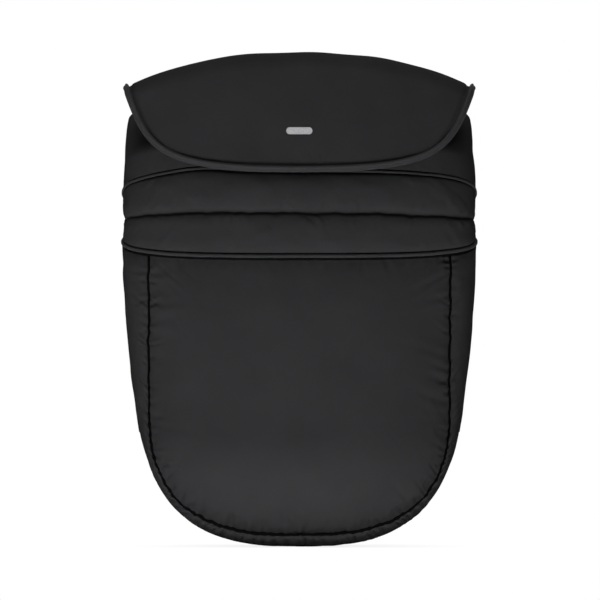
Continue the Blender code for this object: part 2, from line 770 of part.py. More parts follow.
def surface_depth(half_width, front_y, side_y, x):
    share = abs(x) / half_width
    return side_y - (side_y - front_y) * (1.0 - share**SIDE_ROUNDNESS) ** (1.0 / SIDE_ROUNDNESS)


def add_flap_studs():
    share = (STUD_DEPTH - TOP_EDGE_DEPTH) / (UPPER_PIPING_DEPTH - TOP_EDGE_DEPTH)
    z = below(STUD_DEPTH)
    lining_y = flap_front_y(STUD_X, z) + FLAP_THICKNESS
    body_y = surface_depth(*body_row_shape(share), STUD_X)
    for side, sign in (("left", -1), ("right", 1)):
        on_body = (sign * STUD_X, body_y - BINDING_GAP, z)
        on_flap = (sign * STUD_X, lining_y + BINDING_GAP, z)
        turned(f"body_stud_{side}", stud_profile(), on_body, (0, -1, 0), STUD_LOOK)
        turned(f"flap_socket_{side}", socket_profile(), on_flap, (0, 1, 0), STUD_LOOK)


def strap_plan(front_x, rear_x):
    """Middle line of a strap in plan, from its hinge round the seat tube to the stud tab."""
    front_y = STRAP_REAR_Y - STRAP_LOOP_DEPTH
    inner_x = rear_x - STRAP_LOOP_ROOM
    corners = [
        (rear_x, STRAP_REAR_Y),
        (inner_x, STRAP_REAR_Y),
        (inner_x, front_y),
        (front_x, front_y),
        (front_x, front_y - STRAP_TAB),
    ]
    return round_corners(np.array(corners), [0.0, STRAP_BEND, STRAP_BEND, STRAP_BEND / 2, 0.0])


def round_corners(corners, radii):
    """Replace each inner corner of an open polyline by a short arc-like curve."""
    points = [corners[0]]
    for before, corner, after, radius in zip(corners, corners[1:], corners[2:], radii[1:]):
        start = corner + (before - corner) / np.linalg.norm(before - corner) * radius
        end = corner + (after - corner) / np.linalg.norm(after - corner) * radius
        for t in np.linspace(0.0, 1.0, 4):
            points.append((1 - t) ** 2 * start + 2 * (1 - t) * t * corner + t * t * end)
    points.append(corners[-1])
    return np.array(points)


def add_strap(side, sign, wing):
    """Patch sewn on a side wing, and a webbing loop from it that a press stud closes."""
    z = below(STRAP_DEPTH)
    depth = wing.wadding_depths()[1] + LAYER_GAP + LINING_CLOTH
    lining = wing.face - wing.normals * depth[:, None]
    half = STRAP_CLOTH / 2
    patch_x = facet_x(wing, lining, STRAP_REAR_Y, z, STRAP_PATCH / 2, STRAP_WIDTH / 2) - LAYER_GAP
    rear_x = patch_x - STRAP_CLOTH - LAYER_GAP - half
    stud_y = STRAP_REAR_Y - STRAP_LOOP_DEPTH - STRAP_TAB / 2
    stud_x = facet_x(wing, lining, stud_y, z, STUD_RADIUS, STUD_RADIUS) - BINDING_GAP
    front_x = stud_x - STUD_BASE - STUD_POST - half - LAYER_GAP

    line = strap_plan(front_x, rear_x)
    heading = np.gradient(line, axis=0)
    heading /= np.linalg.norm(heading, axis=1)[:, None]
    across = np.column_stack([-heading[:, 1], heading[:, 0]]) * half
    turn = np.linspace(0.0, math.pi, 7)[1:-1, None]
    round_end = line[0] - np.cos(turn) * across[0] - np.sin(turn) * heading[0] * half
    outline = np.vstack([line + across, (line - across)[::-1], round_end])
    hinge = (sign * rear_x, STRAP_REAR_Y, z)
    add_web(f"strap_{side}", [(sign * x, y) for x, y in outline], z, hinge)

    near, far = patch_x - STRAP_CLOTH, patch_x
    low, high = STRAP_REAR_Y - STRAP_PATCH / 2, STRAP_REAR_Y + STRAP_PATCH / 2
    patch = [(sign * x, y) for x, y in ((near, low), (far, low), (far, high), (near, high))]
    add_web(f"strap_patch_{side}", patch, z)

    seat_x = front_x + half + LAYER_GAP
    turned(f"strap_socket_{side}", socket_profile(), (sign * seat_x, stud_y, z), (sign, 0, 0),
           STUD_LOOK)
    turned(f"strap_stud_{side}", stud_profile(), (sign * stud_x, stud_y, z), (-sign, 0, 0),
           STUD_LOOK)


def add_web(name, outline, z, origin=(0.0, 0.0, 0.0)):
    """Flat webbing of the straps' width, standing on its edge along an outline in plan."""
    bm = bmesh.new()
    face = bm.faces.new([bm.verts.new((x, y, z + STRAP_WIDTH / 2)) for x, y in outline])
    pushed = bmesh.ops.extrude_face_region(bm, geom=[face], use_keep_orig=True)
    down = [item for item in pushed["geom"] if isinstance(item, bmesh.types.BMVert)]
    bmesh.ops.translate(bm, vec=(0.0, 0.0, -STRAP_WIDTH), verts=down)
    bmesh.ops.triangulate(bm, faces=bm.faces)
    add_object(name, bm, *STRAP_LOOK, origin=origin)


def facet_x(panel, points, y, z, reach_y, reach_z):
    """Least x of a panel's right wing seen from inside, as far as it reaches from a place."""
    best = None
    for triangle in panel.triangles:
        a, b, c = points[triangle]
        if min(a[0], b[0], c[0]) < 0.0:
            continue
        for dy in (-reach_y, 0.0, reach_y):
            for dz in (-reach_z, 0.0, reach_z):
                x = triangle_x(a, b, c, y + dy, z + dz)
                if x is not None and (best is None or x < best):
                    best = x
    return best


def triangle_x(a, b, c, y, z):
    """x of a triangle's plane at a depth and height inside it, or None outside."""
    edges = np.array([[b[1] - a[1], c[1] - a[1]], [b[2] - a[2], c[2] - a[2]]])
    if abs(np.linalg.det(edges)) < 1e-12:
        return None
    u, v = np.linalg.solve(edges, [y - a[1], z - a[2]])
    if u < 0.0 or v < 0.0 or u + v > 1.0:
        return None
    return float(a[0] + u * (b[0] - a[0]) + v * (c[0] - a[0]))


def add_mark():
    """Plain reflective bar with round ends, lying on the flap's face."""
    z = below(MARK_DEPTH)
    slope = FLAP_LEAN / (FLAP_LENGTH - FOLD_RADIUS)
    face_y = flap_front_y(0.0, z)
    straight = MARK_WIDTH / 2 - MARK_HEIGHT / 2
    outline = []
    for sign in (1, -1):
        for turn in np.linspace(-math.pi / 2, math.pi / 2, 5):
            outline.append((sign * (straight + MARK_HEIGHT / 2 * math.cos(turn)),
                            sign * MARK_HEIGHT / 2 * math.sin(turn)))
    bm = bmesh.new()
    face = bm.faces.new([bm.verts.new((x, face_y - LAYER_GAP + slope * dz, z + dz))
                         for x, dz in outline])
    pushed = bmesh.ops.extrude_face_region(bm, geom=[face], use_keep_orig=True)
    front = [item for item in pushed["geom"] if isinstance(item, bmesh.types.BMVert)]
    bmesh.ops.translate(bm, vec=(0.0, -MARK_THICKNESS, 0.0), verts=front)
    bmesh.ops.triangulate(bm, faces=bm.faces)
    add_object("reflective_bar", bm, *MARK_LOOK)


def add_hem(side, column, inner, panels, last_station):
    """Binding down one side of the opening at the back."""
    body, band, wall = panels
    frames = []
    for panel in (body, band):
        rows = range(panel.index.shape[0])
        frames.append(panel.edge([(r, column) for r in rows], [(r, inner) for r in rows]))
    stations = wall.index.shape[0]
    run = range(last_station + 1)
    if side == "right":
        run = [stations - 1 - s for s in run]
    frames.append(wall.edge([(s, 0) for s in run], [(s, 1) for s in run]))
    joined = [np.vstack(parts) for parts in zip(*frames)]
    sweep(f"hem_binding_{side}", joined, binding_profile(LAYER_GAP * 3), TRIM_LOOK)


def add_heel_edge(panel):
    """Binding along the heel panel's top edge, with the elastic in its fold."""
    columns = panel.index.shape[1]
    cells = [(0, c) for c in range(columns)]
    frames = panel.edge(cells, [(1, c) for c in range(columns)])
    inset = HEEL_BINDING_INSET / np.linalg.norm(frames[0][1] - frames[0][0])
    for part in frames:
        part[0] = mix(part[0], part[1], inset)
        part[-1] = mix(part[-1], part[-2], inset)
    fold = ELASTIC_WIDTH + 3 * LAYER_GAP
    sweep("heel_binding", frames, binding_profile(fold), TRIM_LOOK, mirrored_ends=True)
    low, high = LAYER_GAP * 1.5, LAYER_GAP * 1.5 + ELASTIC_WIDTH
    half = ELASTIC_THICKNESS / 2
    sweep("heel_elastic", frames, [(low, half), (high, half), (high, -half), (low, -half)],
          ELASTIC_LOOK, mirrored_ends=True)


def build():
    clear_scene()

    flap = flap_panel()
    flap.add_shell("flap_shell")
    flap.add_wadding("flap_wadding")
    flap.add_lining("flap_lining")
    sweep("flap_binding", flap_border(flap), binding_profile(BINDING_TIP - BINDING_CLOTH),
          TRIM_LOOK, mirrored_ends=True)
    add_mark()

    body = body_panel()
    body.add_shell("body_panel_shell")
    body.add_wadding("body_panel_wadding")
    body.add_lining("body_panel_lining")
    add_piping("upper_piping", upper_piping_z)

    band = quilted_band()
    band.add_shell("band_shell")
    band.add_wadding("band_wadding_upper", (0, CHANNEL_ROWS))
    band.add_wadding("band_wadding_lower", (CHANNEL_ROWS + 1, 2 * CHANNEL_ROWS + 1))
    band.add_lining("band_lining")
    add_piping("lower_piping", lower_piping_z)

    panel = front_panel()
    panel.add_shell("front_panel_shell")
    panel.add_wadding("front_panel_wadding")
    panel.add_lining("front_panel_lining")

    wall = gusset()
    wall.add_shell("gusset_shell")
    wall.add_wadding("gusset_wadding")
    wall.add_lining("gusset_lining")

    guide = gusset_grid()
    heel = heel_panel(guide)
    heel.layer("heel_shell", 0.0, SHELL_CLOTH, SHELL_LOOK)
    heel.layer("heel_lining", SHELL_CLOTH + LAYER_GAP, 2 * SHELL_CLOTH + LAYER_GAP, LINING_LOOK)
    add_heel_edge(heel)

    first_heel_station = heel_span(len(guide))[0]
    columns = body.index.shape[1]
    panels = (body, band, wall)
    add_hem("left", 0, 1, panels, first_heel_station - 1)
    add_hem("right", columns - 1, columns - 2, panels, first_heel_station - 1)

    add_flap_studs()
    for side, sign in (("left", -1), ("right", 1)):
        add_strap(side, sign, body)


build()
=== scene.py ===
"""Dressed model of the padded leg cover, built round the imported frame.

Metres, +Z up. The cover hangs upright as it is worn and its front faces -Y. Every padded panel
is a grid of points on its outer face, blown up by a cloth simulation and then puckered along
its seams. Bindings, pipings, straps and studs are fitted round the panels.
"""

import json
import logging
import math
from dataclasses import dataclass
from enum import Enum
from typing import Callable, Sequence

import bmesh
import bpy
import numpy as np
from mathutils import Euler, Matrix, Vector

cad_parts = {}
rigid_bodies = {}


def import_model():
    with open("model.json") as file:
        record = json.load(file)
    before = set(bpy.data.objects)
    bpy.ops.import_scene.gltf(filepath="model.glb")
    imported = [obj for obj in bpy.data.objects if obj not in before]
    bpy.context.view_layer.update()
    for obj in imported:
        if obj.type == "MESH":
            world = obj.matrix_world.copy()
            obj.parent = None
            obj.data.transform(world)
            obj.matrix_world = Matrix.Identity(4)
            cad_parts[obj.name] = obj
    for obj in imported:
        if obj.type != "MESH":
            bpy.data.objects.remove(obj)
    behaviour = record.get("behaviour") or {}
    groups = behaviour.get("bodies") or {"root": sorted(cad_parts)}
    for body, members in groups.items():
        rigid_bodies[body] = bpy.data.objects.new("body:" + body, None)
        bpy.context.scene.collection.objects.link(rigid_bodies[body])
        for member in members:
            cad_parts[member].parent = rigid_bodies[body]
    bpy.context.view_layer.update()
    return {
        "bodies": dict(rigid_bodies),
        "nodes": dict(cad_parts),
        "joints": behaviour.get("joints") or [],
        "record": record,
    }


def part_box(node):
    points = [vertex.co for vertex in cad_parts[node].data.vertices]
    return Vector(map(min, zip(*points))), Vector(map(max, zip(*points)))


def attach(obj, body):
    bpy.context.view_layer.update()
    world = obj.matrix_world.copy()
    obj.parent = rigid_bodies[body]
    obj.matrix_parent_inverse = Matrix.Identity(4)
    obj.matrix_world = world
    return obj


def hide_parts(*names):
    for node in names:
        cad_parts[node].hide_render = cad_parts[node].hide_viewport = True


LOG = logging.getLogger("leg_cover")

Array = np.ndarray
Item = bpy.types.Object
Socket = bpy.types.NodeSocket
Frames = tuple[Array, Array, Array]
Colour = tuple[float, float, float]

TURN = 2 * math.pi
UP = (0.0, 0.0, 1.0)
FRONT = (0.0, -1.0, 0.0)
BACK = (0.0, 1.0, 0.0)
FLIP = (-1.0, 1.0, 1.0)


# Shapes in numbers


def mix(a, b, t):
    """Value between a and b at share t."""
    return a + (b - a) * t


def ease(t: Array) -> Array:
    """Smooth step from 0 to 1."""
    t = np.clip(t, 0.0, 1.0)
    return t * t * (3.0 - 2.0 * t)


def domed(distance: Array, reach: float) -> Array:
    """Quarter-round rise from 0 at an edge to 1 at a reach from it."""
    share = 1.0 - np.clip(distance / reach, 0.0, 1.0)
    return np.sqrt(np.clip(1.0 - share * share, 0.0, 1.0))


def bezier(a, b, c, d, t) -> Array:
    """Points of a cubic curve, one row for each t."""
    t = np.asarray(t, dtype=float)[..., None]
    a, b, c, d = (np.asarray(p, dtype=float) for p in (a, b, c, d))
    return (1 - t) ** 3 * a + 3 * (1 - t) ** 2 * t * b + 3 * (1 - t) * t * t * c + t**3 * d


def walked(path: Array, axis: int = 0) -> Array:
    """Distance walked along an axis of a path or grid of points."""
    steps = np.linalg.norm(np.diff(path, axis=axis), axis=-1)
    first = np.zeros_like(np.take(steps, [0], axis=axis))
    return np.concatenate([first, np.cumsum(steps, axis=axis)], axis=axis)


def unit(vectors: Array) -> Array:
    """Vectors of length 1 with the same ways."""
    return vectors / np.linalg.norm(vectors, axis=-1, keepdims=True)


def headings(path: Array) -> Array:
    """Way along a path at each of its points."""
    return unit(np.gradient(path, axis=0))


def square_to(vectors: Array, ways: Array) -> Array:
    """Vectors without their share along ways of length 1."""
    return vectors - ways * (vectors * ways).sum(axis=1)[:, None]


def everywhere(way: tuple[float, float, float], path: Array) -> Array:
    """The same way at each point of a path."""
    return np.broadcast_to(way, path.shape)


def hill(distance: Array, reach: float) -> Array:
    """1 at a distance of 0, falling off smoothly on both sides over a reach."""
    return np.exp(-((distance / reach) ** 2))


def nearest(*distances: Array) -> Array:
    """Least of several distances at each point."""
    return np.minimum.reduce(distances)


def patch(edges: Sequence[Array], across: Array, along: Array) -> Array:
    """Grid of points between four edges."""
    top, foot, left, right = edges
    u, v = across[None, :, None], along[:, None, None]
    corners = mix(mix(top[0], top[-1], u), mix(foot[0], foot[-1], u), v)
    return mix(top[None], foot[None], v) + mix(left[:, None], right[:, None], u) - corners


def evenly(count: int) -> Array:
    """Even shares from 0 to 1."""
    return np.linspace(0.0, 1.0, count)


def paced(count: int, crowding: float) -> Array:
    """Shares from 0 to 1 that crowd towards both ends."""
    t = evenly(count)
    return t - crowding * np.sin(TURN * t) / TURN


def resampled(path: Array, shares: Array, columns: int | None = None) -> Array:
    """Points of a polyline at shares of its length."""
    distance = walked(path[:, :columns])
    wanted = shares * distance[-1]
    return np.column_stack([np.interp(wanted, distance, path[:, k]) for k in range(path.shape[1])])


def mirrored(half: Array) -> Array:
    """Whole row of points from a half row that starts on the middle plane."""
    return np.vstack([half[:0:-1] * FLIP[:2], half])


def doubled(coarse: Array) -> Array:
    """Field on a grid with a smooth new value between each two, along both axes."""
    for axis in (0, 1):
        c = np.moveaxis(coarse, axis, 0)
        padded = np.concatenate([2 * c[:1] - c[1:2], c, 2 * c[-1:] - c[-2:-1]])
        between = (9 * (padded[1:-2] + padded[2:-1]) - padded[:-3] - padded[3:]) / 16
        fine = np.empty((2 * len(c) - 1, *c.shape[1:]))
        fine[::2], fine[1::2] = c, between
        coarse = np.moveaxis(fine, 0, axis)
    return coarse


class Cloth:
    """A cloth face as a grid of points, with its normals and its distances to each side.

    Rows run down the front and columns to the right, so the face looks outwards.
    """

    def __init__(self, points: Array) -> None:
        """Measure a grid of points of shape (rows, columns, 3)."""
        self.points = points
        self.normals = unit(np.cross(np.gradient(points, axis=0), np.gradient(points, axis=1)))
        self.down, self.across = walked(points, 0), walked(points, 1)
        self.top, self.foot = self.down, self.down[-1:] - self.down
        self.left, self.right = self.across, self.across[:, -1:] - self.across

    def lean(self, way: tuple[float, float, float], near: Array, reach: float) -> None:
        """Turn the normals near a seam to a way that the neighbouring cloth shares."""
        self.normals = unit(mix(np.array(way), self.normals, ease(near / reach)[..., None]))

    def out(self, height: Array | float) -> Array:
        """Points at a height in front of the face, or behind it where that is negative."""
        height = np.broadcast_to(height, self.points.shape[:2])
        return self.points + self.normals * height[..., None]

    def edge(self, rows, columns, inner_rows, inner_columns) -> Frames:
        """Frames along a cut edge, halfway through its layers.

        Args:
            rows: Row or rows of the edge's points.
            columns: Column or columns of the edge's points.
            inner_rows: The same for each point's inner neighbour.
            inner_columns: The same for each point's inner neighbour.

        Returns:
            Middle, outward way and face normal at each point.
        """
        points = self.points[rows, columns]
        face = self.normals[inner_rows, inner_columns]
        out = np.cross(np.gradient(points, axis=0), face)
        inward = points - self.points[inner_rows, inner_columns]
        out = unit(out * np.sign((inward * out).sum(axis=1))[:, None])
        return points - face * COVER.layers.seam / 2, out, face


@dataclass(frozen=True)
class Puckers:
    """Small creases that run from a seam into the cloth."""

    spacing: float
    length: float
    depth: float
    width: float
    seed: int
    slant: float = 0.5
    rise: float = 0.0014
    ridge: float = 0.45
    ridge_place: float = 1.7

    def height(self, along: Array, away: Array) -> Array:
        """Height of the creased cloth over the smooth one.

        Args:
            along: Distance along the seam, for each point.
            away: Distance from the seam, for each point.
        """
        random = np.random.default_rng(self.seed)
        height = np.zeros_like(away)
        place = float(along.min())
        while place < along.max():
            place += self.spacing * random.uniform(0.5, 1.6)
            length = self.length * random.uniform(0.4, 1.5)
            depth = self.depth * random.uniform(0.3, 1.2)
            width = self.width * random.uniform(0.7, 1.5)
            slant = self.slant * random.uniform(-1.0, 1.0)
            reach = 5 * width + abs(slant) * 3 * length
            near = (np.abs(along - place) < reach) & (away < 3 * length)
            off = away[near]
            q = (along[near] - place - slant * off) / (width * (1 + 0.6 * off / length))
            ridges = hill(q - self.ridge_place, 1.0) + hill(q + self.ridge_place, 1.0)
            rise = 1.0 - np.exp(-off / self.rise)
            height[near] -= depth * (hill(q, 1.0) - self.ridge * ridges) * rise * hill(off, length)
        return height


@dataclass(frozen=True)
class Folds:
    """Gathered folds side by side, with sharp valleys between round ridges."""

    spacing: float
    depth: float
    length: float
    seed: int
    slant: float = 0.3
    rise: float = 0.0012

    def height(self, along: Array, away: Array) -> Array:
        """Height of the folded cloth over the smooth one, at distances along and from a seam."""
        random = np.random.default_rng(self.seed)
        steps = self.spacing * random.uniform(0.5, 1.6, int(along.max() / self.spacing) + 12)
        places = np.cumsum(steps) - 4 * self.spacing
        number = np.arange(len(places), dtype=float)
        slant = np.interp(along, places, self.slant * random.uniform(-1.0, 1.0, len(places)))
        phase = np.interp(along - slant * away, places, number)
        size = np.interp(phase, number + 0.5, random.uniform(0.45, 1.0, len(places)))
        ridge = np.abs(np.sin(math.pi * phase)) ** 0.75 - 0.8
        fall = hill(away, self.length) * (1.0 - np.exp(-away / self.rise))
        return self.depth * size * ridge * fall


def rumple(x: Array, y: Array, size: float, seed: int) -> Array:
    """Smooth random unevenness between about -1 and 1, with bumps of a given size."""
    random = np.random.default_rng(seed)
    height = np.zeros_like(x)
    for _ in range(14):
        turn = random.uniform(0.0, TURN)
        wave = size * random.uniform(0.6, 2.2)
        phase = random.uniform(0.0, TURN)
        height += np.sin(TURN * (x * math.cos(turn) + y * math.sin(turn)) / wave + phase)
    return height / 5.0


# Meshes


def quads(rows: int, columns: int, first: int = 0, flip: bool = False) -> Array:
    """Corner numbers of a grid's faces."""
    index = np.arange(rows * columns).reshape(rows, columns) + first
    corners = [index[:-1, :-1], index[1:, :-1], index[1:, 1:], index[:-1, 1:]]
    if flip:
        corners.reverse()
    return np.stack(corners, axis=-1).reshape(-1, 4)


def rim(rows: int, columns: int) -> Array:
    """Vertex numbers round a grid, in order."""
    index = np.arange(rows * columns).reshape(rows, columns)
    return np.concatenate([index[:-1, 0], index[-1, :-1], index[:0:-1, -1], index[0, :0:-1]])


def tube_faces(index: Array) -> list[Array]:
    """Faces of closed tubes, with their end caps."""
    after = np.roll(index, -1, axis=2)
    corners = [index[:, :-1], after[:, :-1], after[:, 1:], index[:, 1:]]
    return [*np.stack(corners, axis=-1).reshape(-1, 4), *index[:, 0, ::-1], *index[:, -1]]


def added(name: str, data: bpy.types.ID) -> Item:
    """New object in the scene."""
    item = bpy.data.objects.new(name, data)
    bpy.context.collection.objects.link(item)
    return item


def mesh_piece(name: str, points: Array, faces: Sequence, uv: Array | None = None) -> Item:
    """New object from points and faces, shaded smooth.

    Args:
        name: Name of the piece.
        points: One point in each row.
        faces: Corner numbers of each face.
        uv: Place on the cloth, in metres, for each point.
    """
    mesh = bpy.data.meshes.new(name)
    mesh.from_pydata(points.tolist(), [], [list(map(int, face)) for face in faces])
    mesh.shade_smooth()
    if uv is not None:
        layer = mesh.uv_layers.new(name="cloth")
        corners = np.zeros(len(mesh.loops), dtype=np.int32)
        mesh.loops.foreach_get("vertex_index", corners)
        layer.data.foreach_set("uv", uv[corners].astype(np.float32).ravel())
    mesh.update()
    return added(name, mesh)


def closed_pair(name: str, cloth: Cloth, outer: Array, inner: Array) -> Item:
    """Closed piece between an outer and an inner face of the same grid."""
    rows, columns = outer.shape[:2]
    count = rows * columns
    edge = rim(rows, columns)
    after = np.roll(edge, -1)
    side = np.column_stack([edge, edge + count, after + count, after])
    faces = np.vstack([quads(rows, columns), quads(rows, columns, count, True), side])
    place = np.stack([cloth.across, cloth.down], axis=-1).reshape(-1, 2)
    points = np.vstack([outer.reshape(-1, 3), inner.reshape(-1, 3)])
    return mesh_piece(name, points, faces, np.vstack([place, place]))


def swept(name: str, frames: Frames, profile: Array, bulge: Array | None = None) -> Item:
    """Closed piece of a profile carried along a path.

    Args:
        name: Name of the piece.
        frames: Middle, outward way and face normal at each step of the path.
        profile: (outward, facing) pairs round the profile.
        bulge: Size of the profile at each step, or None for 1 everywhere.
    """
    middle, out, face = frames
    steps, count = len(middle), len(profile)
    scale = np.ones(steps) if bulge is None else bulge
    reach = profile[None] * scale[:, None, None]
    points = middle[:, None] + out[:, None] * reach[..., :1] + face[:, None] * reach[..., 1:]
    faces = tube_faces(np.arange(steps * count).reshape(1, steps, count))
    place = np.broadcast_arrays(walked(middle)[:, None], walked(profile)[None])
    item = mesh_piece(name, points.reshape(-1, 3), faces, np.stack(place, axis=-1).reshape(-1, 2))
    outward_faces(item)
    return item


def outward_faces(item: Item) -> None:
    """Turn a closed piece's faces outwards."""
    bm = bmesh.new()
    bm.from_mesh(item.data)
    bmesh.ops.recalc_face_normals(bm, faces=bm.faces)
    bm.to_mesh(item.data)
    bm.free()


# Blowing up the padded panels


@dataclass(frozen=True)
class Filling:
    """How a panel is stuffed.

    Attributes:
        pressure: Push of the wadding on the cloth.
        slack: Share of extra cloth sewn into the seams.
        reach: How far from a seam the extra cloth lies.
        limit: How far a point may move outwards, and half as far inwards.
        fill: 0 for slack and 1 for tight; not used.
    """

    pressure: float
    slack: float
    reach: float
    limit: float
    fill: float = 0.6


class Pump:
    """Blows up all the padded faces in one run of the cloth simulation."""

    FRAMES = 20
    CLOTH = {"quality": 6, "mass": 0.3, "tension_stiffness": 15.0, "compression_stiffness": 15.0,
             "shear_stiffness": 5.0, "bending_stiffness": 0.05, "vertex_group_mass": "sewn",
             "vertex_group_shrink": "loose", "shrink_min": 0.0, "use_pressure": True}
    LEAST_WEIGHT = 0.02

    def __init__(self) -> None:
        """Start with nothing to blow up."""
        self.jobs: dict[str, tuple[Item, Cloth, Filling]] = {}
        self.moved: dict[str, Array] = {}

    def add(self, name: str, cloth: Cloth, held: Array, near: Array, filling: Filling) -> None:
        """Take a face on.

        Args:
            name: Name of the padded piece.
            cloth: Its smooth face, with odd numbers of rows and columns.
            held: True where the face is sewn down.
            near: Distance from the nearest seam.
            filling: How it is stuffed.
        """
        rest = Cloth(cloth.points[::2, ::2])
        rows, columns = rest.points.shape[:2]
        item = mesh_piece(f"{name}_face", rest.points.reshape(-1, 3), quads(rows, columns))
        self.jobs[name] = (item, rest, filling)
        pins = item.vertex_groups.new(name="sewn")
        pins.add([int(i) for i in np.flatnonzero(held[::2, ::2])], 1.0, "REPLACE")
        loose = item.vertex_groups.new(name="loose")
        for number, weight in enumerate(hill(near[::2, ::2], filling.reach).ravel()):
            if weight > self.LEAST_WEIGHT:
                loose.add([number], float(weight), "REPLACE")
        modifier = item.modifiers.new("Cloth", "CLOTH")
        modifier.point_cache.frame_start = 1
        modifier.point_cache.frame_end = self.FRAMES
        settings = modifier.settings
        for key, value in self.CLOTH.items():
            setattr(settings, key, value)
        settings.shrink_max = -filling.slack
        settings.uniform_pressure_force = filling.pressure
        settings.effector_weights.gravity = 0.0
        modifier.collision_settings.use_collision = False
        modifier.collision_settings.use_self_collision = False

    def run(self) -> None:
        """Step the simulation once for all the faces, and keep how far each point moved."""
        scene = bpy.context.scene
        for frame in range(1, self.FRAMES + 1):
            scene.frame_set(frame)
        for name, (item, rest, filling) in self.jobs.items():
            moved = np.zeros_like(rest.points)
            bpy.context.view_layer.objects.active = item
            bpy.ops.object.modifier_apply(modifier="Cloth")
            places = np.zeros(moved.size)
            item.data.vertices.foreach_get("co", places)
            moved = places.reshape(moved.shape) - rest.points
            limit = filling.limit
            outward = (moved * rest.normals).sum(axis=2, keepdims=True)
            capped = np.where(outward > 0, limit * np.tanh(outward / limit),
                              limit / 2 * np.tanh(2 * outward / limit))
            moved += rest.normals * (capped - outward)
            LOG.info("%s: moved %.1f mm out, %.1f mm in", name, 1000 * outward.max(),
                     -1000 * outward.min())
            self.moved[name] = doubled(moved)
            bpy.data.objects.remove(item, do_unlink=True)
        scene.frame_set(1)


# Finishes


class Graph:
    """Node tree of one material or world, written as sums on signals."""

    def __init__(self, owner: bpy.types.Material | bpy.types.World) -> None:
        """Start a node tree, with its surface shader if it is a material's."""
        owner.use_nodes = True
        self.owner = owner
        self.tree = owner.node_tree
        self.shader = self.tree.nodes.get("Principled BSDF")

    @classmethod
    def named(cls, name: str) -> "Graph":
        """Node tree of a new material."""
        return cls(bpy.data.materials.new(name))

    def node(self, kind: str, settings: dict | None = None, **sockets) -> bpy.types.Node:
        """Add a node.

        Args:
            kind: Blender's name of the node type, without ShaderNode.
            settings: Its own settings, which are set first.
            sockets: Values or signals by socket name, with underscores for spaces, or by
                number after an underscore.

        Returns:
            The new node.
        """
        made = self.tree.nodes.new(f"ShaderNode{kind}")
        for key, value in (settings or {}).items():
            setattr(made, key, value)
        for key, value in sockets.items():
            place = int(key[1:]) if key[0] == "_" else key.replace("_", " ")
            self.join(value, made.inputs[place])
        return made

    def signal(self, output: str, kind: str, settings: dict | None = None, **sockets) -> "Signal":
        """Output of a new node."""
        return Signal(self, self.node(kind, settings, **sockets).outputs[output])

    def join(self, value, socket: Socket) -> None:
        """Link a signal to a socket, or set the socket to a plain value."""
        if isinstance(value, Signal):
            self.tree.links.new(value.socket, socket)
        else:
            socket.default_value = value

    def surface(self, **sockets) -> None:
        """Set sockets of the material's surface shader, with underscores for spaces."""
        for key, value in sockets.items():
            self.join(value, self.shader.inputs[key.replace("_", " ")])

    def tone(self, value: "Signal", colour: Colour, *stops: tuple[float, float]) -> "Signal":
        """A colour made darker or lighter by a value, with two (place, factor) stops."""
        made = self.node("ValToRGB", Fac=value)
        for element, (place, factor) in zip(made.color_ramp.elements, stops):
            element.position = place
            element.color = (*(factor * c for c in colour), 1.0)
        return Signal(self, made.outputs["Color"])

    def place(self) -> "Signal":
        """Place on the cloth in metres, along and across the weave."""
        return self.signal("UV", "UVMap", {"uv_map": "cloth"})

    def body(self) -> "Signal":
        """Place in the object, in metres."""
        return self.signal("Object", "TexCoord")

    def noise(self, where: "Signal", size: float, detail: float = 2.0,
              rough: float = 0.5) -> "Signal":
        """Cloudy noise from 0 to 1, with clouds of a given size in metres."""
        return self.signal("Fac", "TexNoise", Vector=where, Scale=1.0 / size, Detail=detail,
                           Roughness=rough)

    def stretched(self, where: "Signal", scale: tuple[float, float, float]) -> "Signal":
        """Place with each axis multiplied by its own factor."""
        return self.signal("Vector", "VectorMath", {"operation": "MULTIPLY"}, _0=where, _1=scale)

    def parts(self, where: "Signal") -> tuple["Signal", "Signal", "Signal"]:
        """The three numbers of a place."""
        made = self.node("SeparateXYZ", Vector=where)
        return tuple(Signal(self, made.outputs[axis]) for axis in "XYZ")

    def seen(self) -> "Signal":
        """1 where the camera looks, also by way of gloss or glass, and 0 for other light."""
        path = self.node("LightPath")
        rays = ("Is Camera Ray", "Is Glossy Ray", "Is Transmission Ray")
        camera, gloss, glass = (Signal(self, path.outputs[ray]) for ray in rays)
        return camera.maths("MAXIMUM", camera, gloss.maths("MAXIMUM", gloss, glass))

    def blended(self, first: Socket, second: Socket, share: "Signal", output: str) -> None:
        """Send a shader mixed from two others to an output node."""
        made = self.node("MixShader", Fac=share)
        ends = (made.inputs[1], made.inputs[2], self.tree.nodes[output].inputs["Surface"])
        for start, end in zip((first, second, made.outputs[0]), ends):
            self.tree.links.new(start, end)

    def bump(self, height: "Signal", depth: float, under: "Signal | None" = None) -> "Signal":
        """Surface normal over a relief of a given depth in metres."""
        below = {} if under is None else {"Normal": under}
        return self.signal("Normal", "Bump", Height=height, Distance=depth, Strength=1.0,
                           **below)


def operator(kind: str, reflected: bool = False) -> Callable:
    """Operator of a signal that adds a Math node, with the signal second if reflected."""

    def applied(self: "Signal", other) -> "Signal":
        """Result of the operator."""
        return self.maths(kind, *((other, self) if reflected else (self, other)))

    return applied


